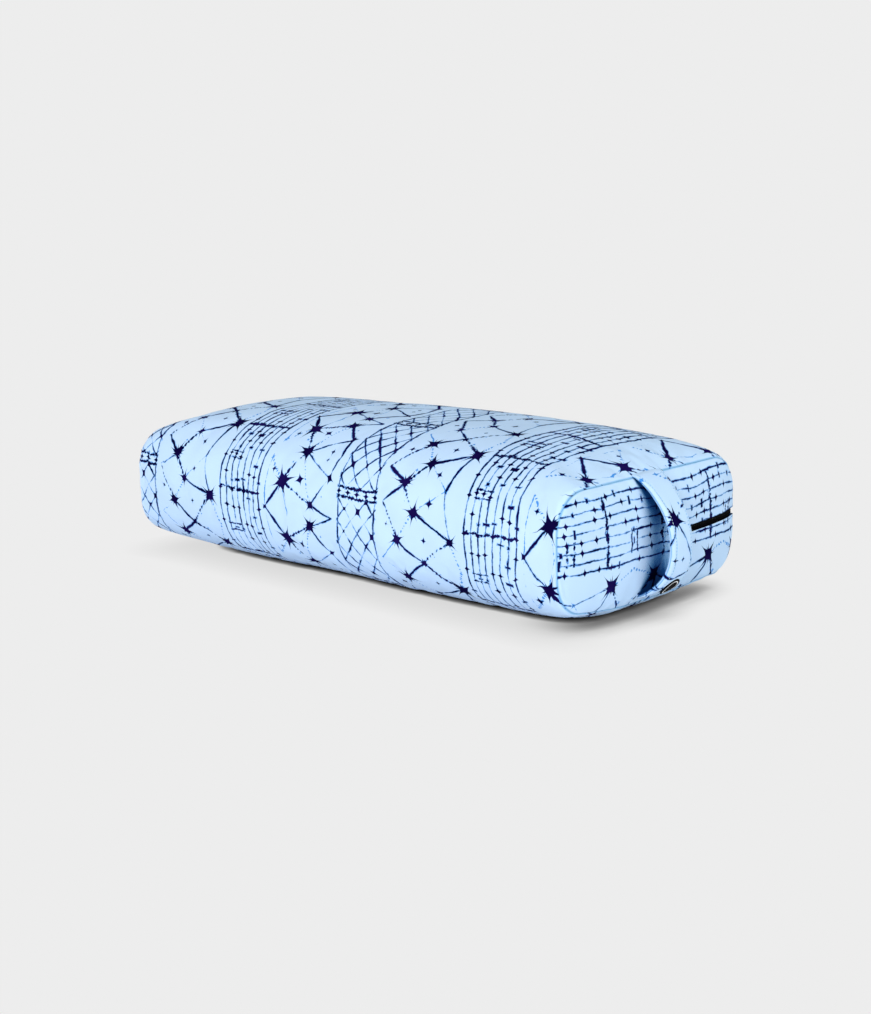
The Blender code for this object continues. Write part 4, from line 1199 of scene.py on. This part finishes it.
printed = microfibre("printed_microfibre")
for ob in (cover, near_panel, far_panel, strap):
    ob.data.materials.append(printed)
stitch_thread = thread_mat("topstitch_thread", (190, 220, 246))
for ob in stitches:
    ob.data.materials.append(stitch_thread)
badge.data.materials.append(badge_mat("badge_moulding"))
weave = tape_weave("zip_tape_weave")
nylon = surface("zip_nylon", (5, 5, 6), 0.62, 0, 900, 0.00003, 0.7, 0.06)
enamel = surface("slider_enamel", (16, 16, 18), 0.34, 0.3, 350, 0.00003, 0.8)
for ob, node, slot in zip_pieces:
    ob.data.materials.append(weave if slot == "zip_tape" else nylon)
for ob in metal_pieces:
    ob.data.materials.clear()
    ob.data.materials.append(enamel)

hidden = {
    "liner_cloth": surface("liner_cotton", (226, 226, 220), 0.9, 0, 700, 0.00015, 0.9, 0.2),
    "batting_fibre": surface("polyester_batting", (240, 240, 238), 0.95, 0, 130, 0.0010, 0.86, 0.1, 5.0),
    "foam": surface("foam_cells", (236, 226, 182), 0.95, 0, 520, 0.0005, 0.8, 0.1),
    "thread": surface("overlock_thread", (196, 220, 242), 0.7, 0, 900, 0.0003, 0.75),
    "label": surface("label_satin", (240, 240, 240), 0.5, 0, 600, 0.00004, 0.93),
    "zip_tape": surface("spare_tape", (14, 14, 16), 0.85, 0, 900, 0.0001, 0.7, 0.2),
    "zip_elements": surface("spare_nylon", (12, 12, 14), 0.5, 0, 900, 0.00005, 0.7, 0.3),
    "slider_metal": enamel,
    "badge": surface("spare_badge", (16, 16, 18), 0.5, 0, 300, 0.00005, 0.8),
    "cover_fabric": surface("spare_cloth", BASE, 0.88, 0, 700, 0.0001, 0.95, 0.2),
}
slots = {s["node"]: s["material_slot"] for s in frame["record"]["subparts"]}
for node, ob in frame["nodes"].items():
    ob.data.materials.clear()
    ob.data.materials.append(hidden[slots[node]])


# ------------------------------------------------------------------ studio
# painted shadow on the floor: how the paper darkens as the object closes in on it within 15 mm and within 50 mm,
# shorter along the sides and longer under the lifted strap end
def painted_paper_shadow(tight, wide, X, Y):
    """Painted shadow on the paper from how open it is over 15 and 50 mm: short along the sides, longer under the lifted
    strap end.
    """
    side = 0.80 * np.minimum(1, tight / 0.20) ** 0.8 + 0.20 * wide
    end = 0.45 * tight + 0.55 * ease(wide, 0.10, 0.80)
    lee = ease(X, 0.22, 0.32) * ease(Y, -0.15, -0.07)
    line = np.interp(tight, [0, 0.05, 0.20], [0.0, 0.05, 1.0])          # the contact line itself
    return np.clip((side * line) * (1 - lee) + end * lee, 0.004, 1)


def paper_grid():
    """Floor grid, fine round the object, with the painted shadow it carries there (1 = none)."""
    verts, polys = [], []
    for ob in (cover, near_panel, far_panel, strap):
        base = len(verts)
        verts += [v.co.copy() for v in ob.data.vertices]
        polys += [[base + i for i in f.vertices] for f in ob.data.polygons]
    tree = BVHTree.FromPolygons(verts, polys)

    def fan(n):
        out = []
        for i in range(n):
            u, a = (i + 0.5) / n, i * 2.399963
            r = math.sqrt(u)
            out.append(Vector((r * math.cos(a), r * math.sin(a), math.sqrt(1 - u))))
        return out

    coarse, fine = fan(40), fan(200)
    gx = np.r_[-60, -3, -0.6, np.arange(-0.42, 0.24, 0.006), np.arange(0.24, 0.4101, 0.004), 0.6, 3, 60]
    gy = np.r_[-60, -3, -0.5, np.arange(-0.252, -0.162, 0.006), np.arange(-0.162, -0.06, 0.0025), np.arange(-0.06, 0.084, 0.006), np.arange(0.084, 0.132, 0.003), np.arange(0.132, 0.2521, 0.006), 0.5, 3, 60]
    tight, wide = np.ones((len(gx), len(gy))), np.ones((len(gx), len(gy)))
    for i, x in enumerate(gx):
        for j, y in enumerate(gy):
            if abs(x) > 0.43 or abs(y) > 0.26:
                continue
            at = Vector((x, y, 0.0002))
            for rays in (coarse, fine):
                hits = np.array([h[3] if h[0] is not None else 1.0 for h in (tree.ray_cast(at, d, 0.05) for d in rays)])
                wide[i, j] = (hits > 0.05).mean()
                tight[i, j] = (hits > 0.015).mean()
                if wide[i, j] in (0.0, 1.0):
                    break
    X, Y = np.meshgrid(gx, gy, indexing="ij")
    shade = painted_paper_shadow(tight, wide, X, Y)
    pts = np.stack([X, Y, np.full_like(X, -0.0003)], -1).reshape(-1, 3)
    return pts, grid_faces(len(gx), len(gy)), shade.ravel()


def studio():
    sc = bpy.context.scene
    sc.view_settings.view_transform = "Standard"
    sc.view_settings.look = "None"
    world = bpy.data.worlds.new("studio")
    sc.world = world
    world.use_nodes = True
    nt = world.node_tree
    seen = nt.nodes["Background"]
    paper = lin(237, 237, 237)
    seen.inputs["Color"].default_value = paper
    seen.inputs["Strength"].default_value = 1.0
    fill = nt.nodes.new("ShaderNodeBackground")
    fill.inputs["Color"].default_value = (1.0, 1.0, 1.0, 1.0)
    fill.inputs["Strength"].default_value = FILL
    path = nt.nodes.new("ShaderNodeLightPath")
    blend = nt.nodes.new("ShaderNodeMixShader")
    nt.links.new(path.outputs["Is Camera Ray"], blend.inputs[0])
    nt.links.new(fill.outputs[0], blend.inputs[1])
    nt.links.new(seen.outputs[0], blend.inputs[2])
    nt.links.new(blend.outputs[0], nt.nodes["World Output"].inputs[0])

    lamps = SUNS
    for name, az, el, strength, angle, tone in lamps:
        d = bpy.data.lights.new(name, "SUN")
        d.energy = strength
        d.color = tone
        d.angle = math.radians(angle)
        o = bpy.data.objects.new(name, d)
        a, e = math.radians(az), math.radians(el)
        # az turns from the front long side (-Y) towards the strap end (+X)
        to = Vector((math.sin(a) * math.cos(e), -math.cos(a) * math.cos(e), math.sin(e)))
        o.rotation_euler = to.to_track_quat("Z", "Y").to_euler()
        sc.collection.objects.link(o)

    at, aim, watts, width, tone = SOFTBOX
    d = bpy.data.lights.new("softbox", "AREA")
    d.shape, d.size, d.energy, d.color = "DISK", width, watts, tone
    o = bpy.data.objects.new("softbox", d)
    o.location = at
    o.rotation_euler = (Vector(at) - Vector(aim)).to_track_quat("Z", "Y").to_euler()
    o.visible_camera = False
    sc.collection.objects.link(o)

    # paper: an even backdrop that glows for the camera, with a painted shadow where the object hides the open room; to
    # other rays it is plain diffuse, painted darker there too
    verts, faces, shade = paper_grid()
    floor = mesh_object("studio_floor", verts, faces, smooth=False)
    floor.data.attributes.new("shade", "FLOAT", "POINT").data.foreach_set("value", shade.astype(np.float32))
    mat, fnt, bsdf = new_material("studio_paper")
    bsdf.inputs["Roughness"].default_value = 1.0
    bsdf.inputs["Specular IOR Level"].default_value = 0.0
    attr = fnt.nodes.new("ShaderNodeAttribute")
    attr.attribute_name = "shade"
    # painted shadow in the paper's colour for bounced light, and in its glow for the camera
    painted_shadow_albedo = E(attr.outputs["Fac"]) * 0.92
    fnt.links.new(vec(painted_shadow_albedo, painted_shadow_albedo, painted_shadow_albedo), bsdf.inputs["Base Color"])
    painted_shadow_level = E(attr.outputs["Fac"]) * paper[0]
    glow = fnt.nodes.new("ShaderNodeEmission")
    fnt.links.new(vec(painted_shadow_level, painted_shadow_level, painted_shadow_level), glow.inputs["Color"])
    ray = fnt.nodes.new("ShaderNodeLightPath")
    pick = fnt.nodes.new("ShaderNodeMixShader")
    fnt.links.new(ray.outputs["Is Camera Ray"], pick.inputs[0])
    fnt.links.new(bsdf.outputs[0], pick.inputs[1])
    fnt.links.new(glow.outputs[0], pick.inputs[2])
    fnt.links.new(pick.outputs[0], fnt.nodes["Material Output"].inputs[0])
    floor.data.materials.append(mat)
    floor.visible_shadow = False

    # camera at the photograph's viewing angle
    az, el, roll = math.radians(43.813), math.radians(11.6), math.radians(-1.431)
    dist, f, tx, ty = 1.698, 1532.37, 0.020, 0.001
    back = Vector((math.sin(az) * math.cos(el), -math.cos(az) * math.cos(el), math.sin(el)))
    right = (-back).cross(Vector((0, 0, 1))).normalized()
    upv = right.cross(-back)
    R = right * math.cos(roll) + upv * math.sin(roll)
    U = upv * math.cos(roll) - right * math.sin(roll)
    C = Vector((0, 0, 0.07 - SETTLE)) + back * dist + R * tx + U * ty
    cam_data = bpy.data.cameras.new("camera")
    cam_data.sensor_width = 36.0
    cam_data.sensor_fit = "AUTO"
    cam_data.lens = f * 36.0 / 1014.0
    cam_data.clip_end = 200.0
    cam = bpy.data.objects.new("camera", cam_data)
    m = Matrix((R, U, back)).transposed().to_4x4()
    m.translation = C
    cam.matrix_world = m
    sc.collection.objects.link(cam)
    sc.camera = cam


FILL = 0.02
SUNS = (("left", -90, 25, 0.42, 35, (1.0, 0.95, 1.0)), ("key", 30, 15, 1.98, 38, (0.99, 0.955, 0.97)),
        ("right", 115, 15, 1.00, 35, (0.985, 1.0, 0.95)), ("back", 138, 42, 0.90, 40, (1.0, 1.0, 0.95)),
        ("top", 0, 72, 1.14, 45, (1.0, 1.0, 0.91)))
SOFTBOX = ((0.41, -1.45, 0.68), (0.10, 0.0, 0.08), 9.2, 1.1, (1.0, 0.93, 0.97))      # at, aimed at, watts, width, tone
studio()
